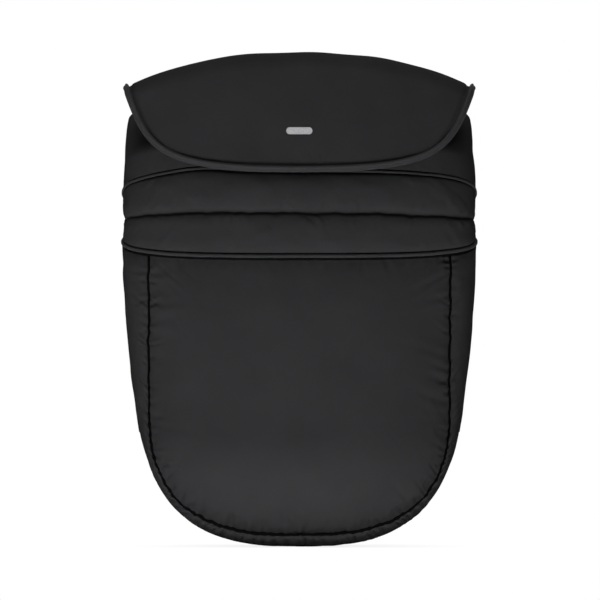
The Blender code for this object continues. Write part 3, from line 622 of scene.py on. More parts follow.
@dataclass(frozen=True)
class Signal:
    """Output of a node that can be used in sums."""

    graph: Graph
    socket: Socket

    def maths(self, operation: str, *values) -> "Signal":
        """Result of a Math node on values or signals."""
        made = self.graph.node("Math", {"operation": operation})
        for value, socket in zip(values, made.inputs):
            self.graph.join(value, socket)
        return Signal(self.graph, made.outputs["Value"])

    __add__ = __radd__ = operator("ADD")
    __sub__, __rsub__ = operator("SUBTRACT"), operator("SUBTRACT", True)
    __mul__ = __rmul__ = operator("MULTIPLY")
    __pow__ = operator("POWER")

    def wave(self, pitch: float) -> "Signal":
        """Sine of a distance, from 0 to 1, with a pitch in metres."""
        return self.maths("SINE", self * (TURN / pitch)) * 0.5 + 0.5

    def clamped(self) -> "Signal":
        """Kept between 0 and 1."""
        return self.maths("MINIMUM", self.maths("MAXIMUM", self, 0.0), 1.0)


class Weave(Enum):
    """How the threads of a cloth or tape cross."""

    PLAIN = "plain"
    KNIT = "knit"
    RIB = "rib"
    WEBBING = "webbing"


@dataclass(frozen=True)
class ClothFinish:
    """A cloth or tape.

    Attributes:
        roughness: How dull it is.
        pitch: Distance from thread to thread.
        relief: Height of the threads.
        crinkle: Height of the soft creases in the cloth.
        gloss: Strength of its highlights.
        sheen: Strength of its soft shine at grazing angles.
    """

    name: str
    colour: Colour
    roughness: float
    weave: Weave
    pitch: float
    relief: float
    crinkle: float
    gloss: float
    sheen: float = 0.0

    def threads(self, graph: Graph, where: Signal) -> Signal:
        """Relief of the threads, from 0 to 1."""
        along, across, _ = graph.parts(where)
        if self.weave is Weave.RIB:
            return along.wave(self.pitch)
        if self.weave is Weave.KNIT:
            loops = (across + along * 0.5).wave(self.pitch * 1.4)
            return along.wave(self.pitch) * 0.5 + loops * 0.5
        if self.weave is Weave.WEBBING:
            twill = (along + across * 1.6).wave(self.pitch)
            return twill * 0.7 + across.wave(self.pitch * 1.3) * 0.3
        return along.wave(self.pitch) * across.wave(self.pitch)

    def material(self) -> bpy.types.Material:
        """Build the material."""
        graph = Graph.named(self.name)
        where, body = graph.place(), graph.body()
        cloud = graph.noise(body, 0.045, 3.0)
        fuzz = graph.noise(graph.stretched(where, (1.0, 0.25, 1.0)), 0.0016, 2.0)
        tone = graph.tone(cloud * 0.7 + fuzz * 0.3, self.colour, (0.3, 0.92), (0.7, 1.08))
        rough = cloud * 0.1 + fuzz * 0.06 + (self.roughness - 0.08)
        normal = graph.bump(graph.noise(body, 0.009, 3.0, 0.55), self.crinkle)
        normal = graph.bump(self.threads(graph, where), self.relief, normal)
        graph.surface(Base_Color=tone, Roughness=rough, Normal=normal, Sheen_Roughness=0.4,
                      Specular_IOR_Level=self.gloss, Sheen_Weight=self.sheen)
        return graph.owner


@dataclass(frozen=True)
class MetalFinish:
    """Dark plated metal of the press studs."""

    name: str = "stud_metal"
    colour: Colour = (0.16, 0.16, 0.17)
    roughness: float = 0.28

    def material(self) -> bpy.types.Material:
        """Build the material."""
        graph = Graph.named(self.name)
        body = graph.body()
        wear = graph.noise(body, 0.0016, 3.0)
        tone = graph.tone(wear, self.colour, (0.35, 0.75), (0.65, 1.35))
        scratches = graph.bump(graph.noise(body, 0.0004), 0.00001)
        graph.surface(Base_Color=tone, Roughness=wear * 0.16 + (self.roughness - 0.08),
                      Normal=scratches, Metallic=1.0)
        return graph.owner


@dataclass(frozen=True)
class ReflectiveFinish:
    """Grey film of fine glass beads on the reflective bar."""

    name: str = "reflective_film"
    colour: Colour = (0.36, 0.36, 0.37)
    cell: float = 0.0009

    def material(self) -> bpy.types.Material:
        """Build the material."""
        graph = Graph.named(self.name)
        bead = graph.signal("Distance", "TexVoronoi", {"feature": "F1"}, Vector=graph.body(),
                            Scale=1.0 / self.cell)
        tone = graph.tone(bead, self.colour, (0.1, 1.15), (0.8, 0.7))
        graph.surface(Base_Color=tone, Roughness=bead * 0.25 + 0.28,
                      Normal=graph.bump(1.0 - bead, 0.00004), Metallic=0.35)
        return graph.owner


class Finishes:
    """All the finishes of the cover, each built once."""

    def __init__(self) -> None:
        """Build the materials."""
        self.shell = ClothFinish("shell_cloth", (0.0198, 0.0198, 0.0208), 0.6, Weave.PLAIN, 0.0007,
                                 0.00002, 0.0003, 0.0).material()
        self.lining = ClothFinish("lining_cloth", (0.028, 0.028, 0.03), 0.85, Weave.KNIT, 0.0012,
                                  0.00008, 0.0004, 0.15, 0.05).material()
        self.trim = ClothFinish("trim_tape", (0.0245, 0.0245, 0.026), 0.5, Weave.RIB, 0.0011,
                                0.0001, 0.00005, 0.02).material()
        # Near-black cloth that paints the shade of deep seams and of the gaps beside the pipings:
        # painted shade.
        self.seam = ClothFinish("seam_binding", (0.0025, 0.0025, 0.0025), 0.9, Weave.RIB, 0.0011,
                                0.0001, 0.00005, 0.0).material()
        self.webbing = ClothFinish("webbing", (0.016, 0.016, 0.017), 0.62, Weave.WEBBING, 0.0018,
                                   0.00018, 0.00005, 0.35).material()
        self.elastic = ClothFinish("elastic", (0.04, 0.04, 0.043), 0.8, Weave.RIB, 0.0014,
                                   0.00012, 0.00005, 0.2).material()
        self.thread = ClothFinish("thread", (0.03, 0.03, 0.031), 0.45, Weave.RIB, 0.0003,
                                  0.00003, 0.00001, 0.45).material()
        self.metal = MetalFinish().material()
        self.film = ReflectiveFinish().material()


def dressed(item: Item, material: bpy.types.Material, body: str, slot: str, *nodes: str) -> None:
    """Give a piece its material and body, and hide the nodes that it stands for."""
    item.data.materials.clear()
    item.data.materials.append(material)
    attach(item, body)
    if nodes:
        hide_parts(*nodes)
    LOG.info("%s: %d faces on %s", item.name, len(item.data.polygons), body)


# Sizes that the whole cover shares


@dataclass(frozen=True)
class Layers:
    """Thicknesses of a sewn panel's layers."""

    cloth: float = 0.0008
    lining: float = 0.0008
    gap: float = 0.0003
    seam_wadding: float = 0.0006

    @property
    def pad(self) -> float:
        """Outer cloth and wadding where they are sewn."""
        return self.cloth + self.gap + self.seam_wadding

    @property
    def seam(self) -> float:
        """All the layers where they are sewn."""
        return self.pad + self.gap + self.lining


@dataclass(frozen=True)
class Cover:
    """Sizes of the whole cover, with heights given as depths below the top of the fold."""

    layers: Layers = Layers()
    fold_radius: float = 0.0194
    height: float = 0.568
    top_edge: float = 0.0645
    upper_piping: float = 0.1362
    quilting: float = 0.188
    lower_piping: float = 0.2339
    upper_drop: float = 0.036
    upper_lift: float = 0.0045
    lift_x: float = -0.115
    lift_reach: float = 0.045
    lower_rise: float = 0.024
    top_slope: float = 0.8
    hinge_y: float = 0.032
    hinge_gap: float = 0.0006
    top_half: float = 0.1969
    piping_half: float = 0.2032
    pocket_half: float = 0.2042
    front_y: float = -0.014
    top_side_y: float = 0.052
    side_y: float = 0.036
    hem_y: float = 0.08
    foot_hem_y: float = 0.1
    wing_tuck: float = 0.006
    roundness: float = 3.2
    top_flare: float = 1.4
    slope_share: float = 0.66
    upper_cord: float = 0.0016
    lower_cord: float = 0.0023
    cord_room: float = 0.00015
    flange: float = 0.0004

    @property
    def upper_seat(self) -> float:
        """Room from the upper piping's middle to the cloth beside it."""
        return self.upper_cord + self.cord_room

    @property
    def lower_seat(self) -> float:
        """Room from the lower piping's middle to the cloth beside it."""
        return self.lower_cord + self.cord_room

    def below(self, depth):
        """Height of a point at a depth below the top of the fold."""
        return self.fold_radius - depth

    def wrap(self, y: Array) -> Array:
        """0 at the front of the body, 1 at its hem."""
        share = np.clip((y - self.front_y) / (self.hem_y - self.front_y), 0.0, 1.0)
        return np.sin(math.pi / 2 * share)

    def section(self, half: float, front: float, side: float, shares: Array) -> Array:
        """Level line round the body, from the left hem round the front to the right one."""
        turn = np.linspace(0.0, math.pi / 2, 401)
        power = 2.0 / self.roundness
        x = half * np.sin(turn) ** power
        y = side - (side - front) * np.abs(np.cos(turn)) ** power
        wing = evenly(9)[1:]
        x = np.append(x, half - self.wing_tuck * wing)
        y = np.append(y, mix(side, self.hem_y, wing))
        return mirrored(resampled(np.column_stack([x, y]), shares))

    def upper_piping_z(self, line: Array) -> Array:
        """Height of the upper piping at (x, y) places round the body."""
        lift = self.upper_lift * hill(line[:, 0] - self.lift_x, self.lift_reach)
        return self.below(self.upper_piping) + lift - self.upper_drop * self.wrap(line[:, 1])

    def lower_piping_z(self, line: Array) -> Array:
        """Height of the lower piping at (x, y) places round the body."""
        return self.below(self.lower_piping) + self.lower_rise * self.wrap(line[:, 1])


COVER = Cover()


# Padded panels


class Panel:
    """A padded panel: a smooth face that is blown up and puckered, with a lining behind it.

    Attributes:
        name: Name that its pieces start with.
        body: Body of the frame that it rides on.
        filling: How it is stuffed.
        waddings: Last words of its wadding nodes.
        tucks: How the inner layers are drawn at the top and the foot: 1 up, -1 down.
        turns: How far the outer cloth turns in at the top and the foot.
        dip: How far the outer cloth sinks in its seams.
        smooth_edge: How far from a seam the creases reach their full height.
        least_depth: Least room between the outer cloth and the wadding's back.
    """

    name: str
    body = "cover"
    filling: Filling
    waddings = ("wadding",)
    tucks = (0.0, 0.0)
    tuck_room = 0.0011
    tuck_reach = 0.005
    turns = (0.0, 0.0)
    turn_reach = 0.004
    dip = 0.0011
    dip_reach = 0.0035
    smooth_edge = 0.0015
    least_depth = 0.0016

    def __init__(self, cloth: Cloth, loft: Array, swell: float, near: Array, held: Array) -> None:
        """Take a smooth face."""
        self.cloth = cloth
        self.loft = loft
        self.swell = swell
        self.near = near
        self.held = held
        self.give: Array | float = 1.0
        self.roll: Array | float = 0.0
        self.face = Cloth(cloth.out(swell * loft))

    def pump(self, pump: Pump) -> None:
        """Hand the face to the simulation."""
        pump.add(self.name, self.face, self.held, self.near, self.filling)

    def creases(self) -> Array:
        """Height of the creases over the blown face."""
        return np.zeros_like(self.near)

    def inside(self) -> Array:
        """Height of the lining's own softness."""
        place = self.cloth
        return 0.0004 * rumple(place.across, place.down, 0.05, 3) * domed(self.near, 0.02)

    def finished(self, pump: Pump, finishes: Finishes) -> None:
        """Build the padded piece and the lining behind it."""
        layers = COVER.layers
        depth = layers.pad + (1.0 - self.swell) * self.loft
        dip = self.dip * (1.0 - domed(self.near, self.dip_reach))
        blown = self.face.points + pump.moved[self.name] * np.atleast_3d(self.give)
        creases = self.creases() * ease(self.near / self.smooth_edge)
        creased = self.face.normals * np.maximum(creases, self.least_depth - depth)[..., None]
        outer = blown + creased - self.cloth.normals * dip[..., None] + self.roll
        outer[..., 2] += self.turns[0] * (domed(self.cloth.top, self.turn_reach) - 1.0)
        outer[..., 2] -= self.turns[1] * (domed(self.cloth.foot, self.turn_reach) - 1.0)
        depth = depth + self.inside()
        pad = closed_pair(f"{self.name}_pad", self.cloth, outer, self.tucked(-depth))
        nodes = [f"{self.name}_{word}" for word in ("shell", *self.waddings)]
        dressed(pad, finishes.shell, self.body, "shell_cloth", *nodes)
        front = self.tucked(-depth - layers.gap)[::2, ::2]
        back = self.tucked(-depth - layers.gap - layers.lining)[::2, ::2]
        thin = Cloth(front)
        lining = closed_pair(f"{self.name}_lining_cloth", thin, front, back)
        dressed(lining, finishes.lining, self.body, "lining_cloth", f"{self.name}_lining")

    def tucked(self, height: Array) -> Array:
        """Points of an inner layer, drawn up or down behind the piping beside it."""
        top = self.tucks[0] * np.exp(-self.cloth.top / self.tuck_reach)
        foot = self.tucks[1] * np.exp(-self.cloth.foot / self.tuck_reach)
        return self.cloth.out(height) + (top + foot)[..., None] * (0.0, 0.0, self.tuck_room)


@dataclass
class FlapShape:
    """Sizes of the flap over the bumper bar."""

    bar_bow: float = 0.012
    corner_half: float = 0.2036
    corner_drop: float = 0.0407
    corner_height: float = 0.006
    fold_power: float = 2.4
    length: float = 0.138
    side_taper: float = 0.0263
    side_length: float = 0.0729
    foot_pull: float = 0.1656
    lean: float = 0.006
    corner_share: float = 0.5
    hinge_half: float = 0.194
    binding_tip: float = 0.002
    wadding: float = 0.0026
    columns: int = 201
    rows: int = 101

    def centre(self, x: Array) -> tuple[Array, Array]:
        """Depth and height of the bumper bar's middle."""
        share = np.abs(x) / self.corner_half
        return self.bar_bow * share**2, -self.corner_drop * share**self.fold_power

    def run(self, x: Array) -> tuple[Array, ...]:
        """The fold at a distance from the middle plane.

        Returns:
            Middle's depth and height, start angle, the lengths of the rear, the fold and the
            front, and the depth of the front's foot.
        """
        radius = COVER.fold_radius
        y, z = self.centre(x)
        back_y, back_z = COVER.hinge_y - y, COVER.below(COVER.top_edge) + COVER.hinge_gap / 2 - z
        away = np.maximum(np.hypot(back_y, back_z), radius)
        start = np.arctan2(back_y, back_z) - np.arccos(radius / away)
        rear = np.sqrt(np.maximum(away**2 - radius**2, 1e-12))
        fold = radius * (start + math.pi / 2)
        foot_z = COVER.below(self.length)
        foot_y = y - radius - self.lean * (z - foot_z) / (self.length - radius)
        front = np.hypot(foot_y - (y - radius), foot_z - z)
        return y, z, start, rear, fold, front, foot_y

    def point(self, x: Array, distance: Array) -> Array:
        """Points of the flap's outer face at distances from its seam."""
        radius = COVER.fold_radius
        y, z, start, rear, fold, front, foot_y = self.run(x)
        seam_z = COVER.below(COVER.top_edge) + COVER.hinge_gap / 2
        touch_y, touch_z = y + radius * np.sin(start), z + radius * np.cos(start)
        first = np.clip(distance / rear, 0.0, 1.0)
        angle = start - np.clip(distance - rear, 0.0, fold) / radius
        last = np.clip((distance - rear - fold) / front, 0.0, 1.0)
        on_rear = distance < rear
        on_front = distance > rear + fold
        py = np.where(on_rear, mix(COVER.hinge_y, touch_y, first), y + radius * np.sin(angle))
        pz = np.where(on_rear, mix(seam_z, touch_z, first), z + radius * np.cos(angle))
        py = np.where(on_front, mix(y - radius, foot_y, last), py)
        pz = np.where(on_front, mix(z, COVER.below(self.length), last), pz)
        return np.stack([x, py, pz], axis=-1)

    def reach(self, x: Array, height: Array) -> Array:
        """Distance along the flap from its seam to a height on its front."""
        radius = COVER.fold_radius
        _, z, start, rear, fold, front, _ = self.run(x)
        angle = np.arccos(np.clip((height - z) / radius, 0.0, 1.0))
        below = np.clip((z - height) / (z - COVER.below(self.length)), 0.0, 1.0)
        return rear + np.where(height > z, radius * (start + angle), fold + front * below)

    def grid(self) -> Array:
        """Points of the smooth outer face, from the seam over the fold and down."""
        half = self.corner_half - self.binding_tip
        corner = (half, COVER.below(self.corner_drop))
        side = (half - self.side_taper, COVER.below(self.corner_drop + self.side_length))
        foot_z = COVER.below(self.length - self.binding_tip)
        edge = bezier(corner, side, (self.foot_pull, foot_z), (0.0, foot_z), evenly(601))
        edge = edge[edge[:, 1] < COVER.below(self.corner_drop + self.corner_height)]
        edge[:, 1] = self.reach(edge[:, 0], edge[:, 1])
        side_x = np.array([half])
        fold_at = self.reach(side_x, self.centre(side_x)[1] + COVER.fold_radius)
        back = evenly(101)
        back = np.column_stack([mix(self.hinge_half, half, ease(back)), fold_at * back])
        turn = int(self.corner_share * len(edge))
        columns = (self.columns + 1) // 2
        across = evenly(columns)
        along = paced(self.rows, 0.25)
        seam = resampled(np.array([(0.0, 0.0), (self.hinge_half, 0.0)]), across)
        middle = resampled(np.array([(0.0, 0.0), (0.0, edge[-1, 1])]), along)
        side_line = resampled(np.vstack([back, edge[: turn + 1]]), along)
        foot = resampled(edge[turn:][::-1], across)
        plan = patch((seam, foot, middle, side_line), across, along)
        right = self.point(plan[..., 0], plan[..., 1])
        return np.concatenate([right[:, :0:-1] * FLIP, right], axis=1)


class FlapPanel(Panel):
    """Padded flap, folded over the bumper bar."""

    name = "flap"
    body = "flap"
    filling = Filling(pressure=0.5, slack=0.03, reach=0.02, limit=0.002, fill=0.4)
    groove = 0.002
    groove_at = 0.0072
    groove_reach = 0.003

    def __init__(self) -> None:
        """Lay out the face."""
        self.shape = FlapShape()
        cloth = Cloth(self.shape.grid())
        near = nearest(cloth.left, cloth.right, cloth.foot, cloth.top)
        loft = self.shape.wadding * domed(near - 0.0035, 0.014)
        held = (nearest(cloth.left, cloth.right, cloth.foot) < 0.005) | (cloth.top < 0.004)
        super().__init__(cloth, loft, 0.0, near, held)

    def creases(self) -> Array:
        """Short puckers along the binding, and long soft waves down the front."""
        cloth = self.cloth
        foot = Puckers(0.009, 0.014, 0.0006, 0.0022, 11).height(cloth.across, cloth.foot)
        left = Puckers(0.012, 0.01, 0.0004, 0.0022, 12).height(cloth.down, cloth.left)
        right = Puckers(0.012, 0.01, 0.0004, 0.0022, 13).height(cloth.down, cloth.right)
        soft = rumple(cloth.across, 0.35 * cloth.down, 0.07, 14) * domed(self.near, 0.05)
        groove = self.groove * hill(self.near - self.groove_at, self.groove_reach)
        return (foot + left + right) * ease((self.near - 0.003) / 0.004) + 0.0007 * soft - groove


class BodyPanel(Panel):
    """Upper body, from its seam behind the bar to the upper piping."""

    name = "body_panel"
    filling = Filling(pressure=0.6, slack=0.03, reach=0.015, limit=0.003, fill=0.4)
    tucks = (0.0, -1.0)
    turns = (0.0, 0.001)
    wadding = 0.004
    shoulder = 0.005
    rows = 45
    columns = 121

    def __init__(self) -> None:
        """Lay out the face."""
        shares = evenly(self.columns)
        lines = []
        for share in paced(self.rows, 0.3):
            line = COVER.section(*self.line_shape(share), shares)
            top = self.top_z(line[:, 1])
            foot = COVER.upper_piping_z(line) + COVER.upper_seat
            lines.append(np.column_stack([line, mix(top, foot, share)]))
        cloth = Cloth(np.array(lines))
        near = nearest(cloth.foot, cloth.left, cloth.right, cloth.top)
        super().__init__(cloth, self.wadding * domed(near, 0.02), 0.0, near, near < 0.003)

    def line_shape(self, share: float) -> tuple[float, float, float]:
        """Half width, front and side depth of a level line, at a share of the height."""
        rise = float(ease(np.array(share / COVER.slope_share)))
        front = mix(COVER.hinge_y - COVER.layers.seam, COVER.front_y, rise)
        side = mix(COVER.top_side_y, COVER.side_y, share)
        half = mix(COVER.top_half, COVER.piping_half, 1.0 - (1.0 - share) ** COVER.top_flare)
        return half, front, side

    def top_z(self, y: Array) -> Array:
        """Height of the top edge at a depth of the body."""
        drop = COVER.top_slope * np.maximum(y - COVER.hinge_y - self.shoulder, 0.0)
        return COVER.below(COVER.top_edge) - drop - COVER.hinge_gap / 2

    def creases(self) -> Array:
        """Puckers up from the piping, and soft diagonal unevenness."""
        cloth = self.cloth
        foot = Puckers(0.011, 0.012, 0.0005, 0.0022, 21).height(cloth.across, cloth.foot)
        soft = rumple(cloth.across, cloth.down, 0.045, 22) * domed(self.near, 0.03)
        return foot + 0.0007 * soft


class Band(Panel):
    """Quilted band with two stuffed channels between the pipings."""

    name = "band"
    waddings = ("wadding_upper", "wadding_lower")
    filling = Filling(pressure=4.0, slack=0.1, reach=0.012, limit=0.003, fill=0.8)
    tucks = (1.0, -1.0)
    turns = (0.0008, 0.0008)
    upper_channel = (0.008, 0.018, 0.04)
    lower_channel = (0.0065, 0.015, 0.015)
    stitch_floor = 0.0013
    side_fullness = 0.03
    draw_in = 0.0016
    wander = 0.0009
    stitch_lift = 0.0035
    stitch_drop = 0.0018
    groove = 0.002
    groove_reach = 0.0032
    rows = 81
    columns = 131

    def __init__(self) -> None:
        """Lay out the face."""
        height = COVER.lower_piping - COVER.upper_piping
        stitch = (COVER.quilting - COVER.upper_piping) / height
        half_rows = (self.rows + 1) // 2
        upper = paced(half_rows, 0.75)
        shares = np.concatenate([upper * stitch, mix(stitch, 1.0, upper[1:])])
        columns = evenly(self.columns)
        lines, full, sides = [], [], []
        for share in shares:
            half = COVER.piping_half - self.draw_in * math.sin(math.pi * share)
            line = COVER.section(half, COVER.front_y, COVER.side_y, columns)
            y = line[:, 1]
            top = COVER.upper_piping_z(line) - COVER.upper_seat
            foot = COVER.lower_piping_z(line) + COVER.lower_seat
            lines.append(np.column_stack([line, mix(top, foot, share)]))
            side = ease((y - COVER.front_y) / (COVER.side_y - COVER.front_y))
            wadding, rise, fall = self.upper_channel if share < stitch else self.lower_channel
            puff = domed(max(height * abs(share - stitch) - self.stitch_floor, 0.0), rise)
            puff = puff * domed(height * min(share, 1.0 - share), fall)
            full.append(wadding * puff * mix(1.0, self.side_fullness, side))
            sides.append(side)
        points = np.array(lines)
        stitch_line = walked(points[half_rows - 1])
        span = np.where(shares < stitch, stitch, 1.0 - stitch)
        level = points[half_rows - 1, :, 0] / COVER.piping_half
        lift = self.stitch_lift * (1.0 - level**2) - self.stitch_drop * np.maximum(level, 0.0) ** 2
        lift += self.wander * rumple(stitch_line, np.zeros_like(stitch_line), 0.022, 37)
        points[..., 2] += lift[None] * (1.0 - np.abs(shares - stitch) / span)[:, None]
        cloth = Cloth(points)
        self.from_stitch = np.abs(cloth.down - cloth.down[half_rows - 1])
        side_near = nearest(cloth.left, cloth.right)
        near = nearest(cloth.top, cloth.foot, self.from_stitch, side_near)
        loft = np.array(full) * domed(side_near - 0.008, 0.015)
        held = side_near < 0.006
        held[[0, half_rows - 1, -1]] = True
        super().__init__(cloth, loft, 1.0, near, held)
        self.give = 1.0 - np.array(sides)

    def creases(self) -> Array:
        """Puckers on both sides of the quilting and beside the pipings."""
        cloth = self.cloth
        height = np.zeros_like(self.near)
        upper, lower = slice(0, (self.rows + 1) // 2), slice((self.rows - 1) // 2, None)
        plans = (
            (upper, self.from_stitch, Puckers(0.0085, 0.012, 0.0018, 0.0021, 31, 0.9)),
            (lower, self.from_stitch, Puckers(0.0095, 0.011, 0.0018, 0.0021, 32, 0.9)),
            (upper, cloth.top, Puckers(0.01, 0.009, 0.0006, 0.002, 33, 0.6)),
            (lower, cloth.foot, Puckers(0.01, 0.009, 0.0006, 0.002, 34, 0.6)),
        )
        for rows, away, puckers in plans:
            height[rows] += puckers.height(cloth.across[rows], away[rows])
        soft = rumple(cloth.across, 1.5 * cloth.down, 0.045, 35) * domed(self.near, 0.02)
        x = cloth.points[..., 0]
        ends = hill(np.abs(x) - 0.165, 0.03)
        slant = rumple(cloth.across - np.sign(x) * cloth.down, 0.3 * cloth.down, 0.016, 36)
        groove = self.groove * hill(self.from_stitch, self.groove_reach)
        return height + (0.0009 * soft + 0.0006 * slant * ends) * domed(self.near, 0.012) - groove


@dataclass
class PocketShape:
    """Sizes of the foot pocket in plan, as seen from the front."""

    bend: float = 0.3995
    bend_half: float = 0.18975
    side_bow: float = 0.0025
    heel_taper: float = 0.01
    heel_drop: float = 0.076
    foot_pull: float = 0.16
    flat_half: float = 0.021
    top_reach: float = 0.0305
    seam_bend: float = 0.4225
    seam_bend_half: float = 0.1725
    seam_heel_drop: float = 0.0675
    seam_foot_pull: float = 0.138
    foot_reach: float = 0.0144
    seam_gap: float = 0.0006
    seam_y: float = -0.0035
    crown_top: float = 0.016
    crown: float = 0.03
    flatness: float = 3.0
    sharpness: float = 0.7
    spine: float = 0.45
    top_blend: float = 0.06
    lean_reach: float = 0.01
    wobble: float = 0.0007
    wobble_size: float = 0.018
    wobble_reach: float = 0.012
    roll: float = 0.0011
    foot_roll: float = 2.3
    roll_reach: float = 0.004
    top_recess: float = 0.0038
    top_recess_reach: float = 0.011
    groove_side: float = 0.0012
    groove_foot: float = 0.0034
    groove_reach: float = 0.005
    groove_start: float = 0.4
    groove_blend: float = 0.08

    def top_z(self) -> float:
        """Height of the pocket's top edge in the middle."""
        return COVER.below(COVER.lower_piping) - COVER.lower_seat

    def stations(self) -> Array:
        """Half U from the top to the middle of the foot.

        Returns:
            Columns of the seam's x and z, the outline's x and z, and the place along the U,
            which is 1 at the bend and 2 where the foot is flat.
        """
        t = evenly(301)
        top_z = self.top_z()
        foot = COVER.below(COVER.height)
        outer_top = np.array((COVER.pocket_half, top_z))
        bend = np.array((self.bend_half, COVER.below(self.bend)))
        third = (bend - outer_top) / 3
        bow = np.array((self.side_bow, 0.0))
        outer = bezier(outer_top, outer_top + third + bow, outer_top + 2 * third + bow, bend, t)
        heel = (bend[0] - self.heel_taper, bend[1] - self.heel_drop)
        outer_heel = bezier(bend, heel, (self.foot_pull, foot), (self.flat_half, foot), t)
        seam_top = np.array((COVER.pocket_half - self.top_reach, top_z))
        seam_bend = np.array((self.seam_bend_half, COVER.below(self.seam_bend)))
        seam = mix(seam_top, seam_bend, t[:, None])
        seam_foot = COVER.below(COVER.height - self.foot_reach)
        drop = (seam_bend[0], seam_bend[1] - self.seam_heel_drop)
        seam_heel = bezier(seam_bend, drop, (self.seam_foot_pull, seam_foot),
                           (self.flat_half, seam_foot), t)
        last = np.array([[0.0, seam_foot, 0.0, foot, 3.0]])
        upper = np.column_stack([seam, outer, t])[:-1]
        return np.vstack([upper, np.column_stack([seam_heel, outer_heel, 1.0 + t]), last])

    def recess(self, z: Array) -> Array:
        """How far the cloth lies back just under the piping."""
        return self.top_recess * hill(self.top_z() - z, self.top_recess_reach)

    def seam_path(self) -> Array:
        """Points along the whole seam, from its top left round the foot to its top right."""
        seam = self.stations()[:, :2]
        seam = np.vstack([seam * (-1, 1), seam[-2::-1]])
        top = self.top_share(seam[:, 1])
        front = self.body_front(seam[:, 0])
        path = np.column_stack([seam[:, 0], mix(self.seam_y, front, top) + self.recess(seam[:, 1]),
                                seam[:, 1] + top * COVER.lower_rise * COVER.wrap(front)])
        return resampled(path, evenly(900))

    def from_seam(self, points: Array) -> Frames:
        """Where points lie from the seam, as seen from the front.

        Returns:
            Distance along the seam, distance from it, and the way from it.
        """
        path = self.seam_path()[:, [0, 2]]
        flat = points[..., [0, 2]].reshape(-1, 2)
        at = np.concatenate([np.argmin(((part[:, None] - path[None]) ** 2).sum(axis=2), axis=1)
                             for part in np.array_split(flat, 40)])
        heading = headings(path)[at]
        offset = flat - path[at]
        side = np.column_stack([heading[:, 1], -heading[:, 0]])
        away = (offset * side).sum(axis=1)
        side *= np.sign(away)[:, None]
        along = walked(path)[at] + (offset * heading).sum(axis=1)
        shape = points.shape[:-1]
        way = np.stack([side[:, 0], np.zeros_like(away), side[:, 1]], axis=-1)
        return along.reshape(shape), np.abs(away).reshape(shape), way.reshape(*shape, 3)

    def wobbled(self, points: Array, away: Array) -> Array:
        """Points with the slight wander of the seam and its groove, which fade away from it."""
        x, z = points[..., 0], points[..., 2]
        fade = self.wobble * hill(away, self.wobble_reach)
        groove = mix(self.groove_side, self.groove_foot, self.low(z))
        groove = groove * hill(away, self.groove_reach)
        shift = [rumple(x, z, self.wobble_size, 81) * fade, groove,
                 rumple(x, z, self.wobble_size, 82) * fade]
        return points + np.stack(shift, axis=-1)

    def low(self, z: Array) -> Array:
        """0 along the pocket's sides and 1 round its foot."""
        return ease((COVER.below(self.groove_start) - z) / self.groove_blend)

    def rolled(self, points: Array, away: Array, way: Array) -> Array:
        """How far the outer cloth turns back from the seam."""
        roll = self.roll * mix(1.0, self.foot_roll, self.low(points[..., 2]))
        return way * (roll * (1.0 - domed(away, self.roll_reach)))[..., None]

    def top_share(self, z: Array) -> Array:
        """1 along the pocket's top edge, 0 from some way down."""
        return 1.0 - ease((self.top_z() - z) / self.top_blend)

    def body_front(self, x: Array) -> Array:
        """Depth of the body's face at the lower piping."""
        share = np.clip(np.abs(x) / COVER.piping_half, 0.0, 1.0)
        bulge = (1.0 - share**COVER.roundness) ** (1.0 / COVER.roundness)
        return COVER.side_y - (COVER.side_y - COVER.front_y) * bulge


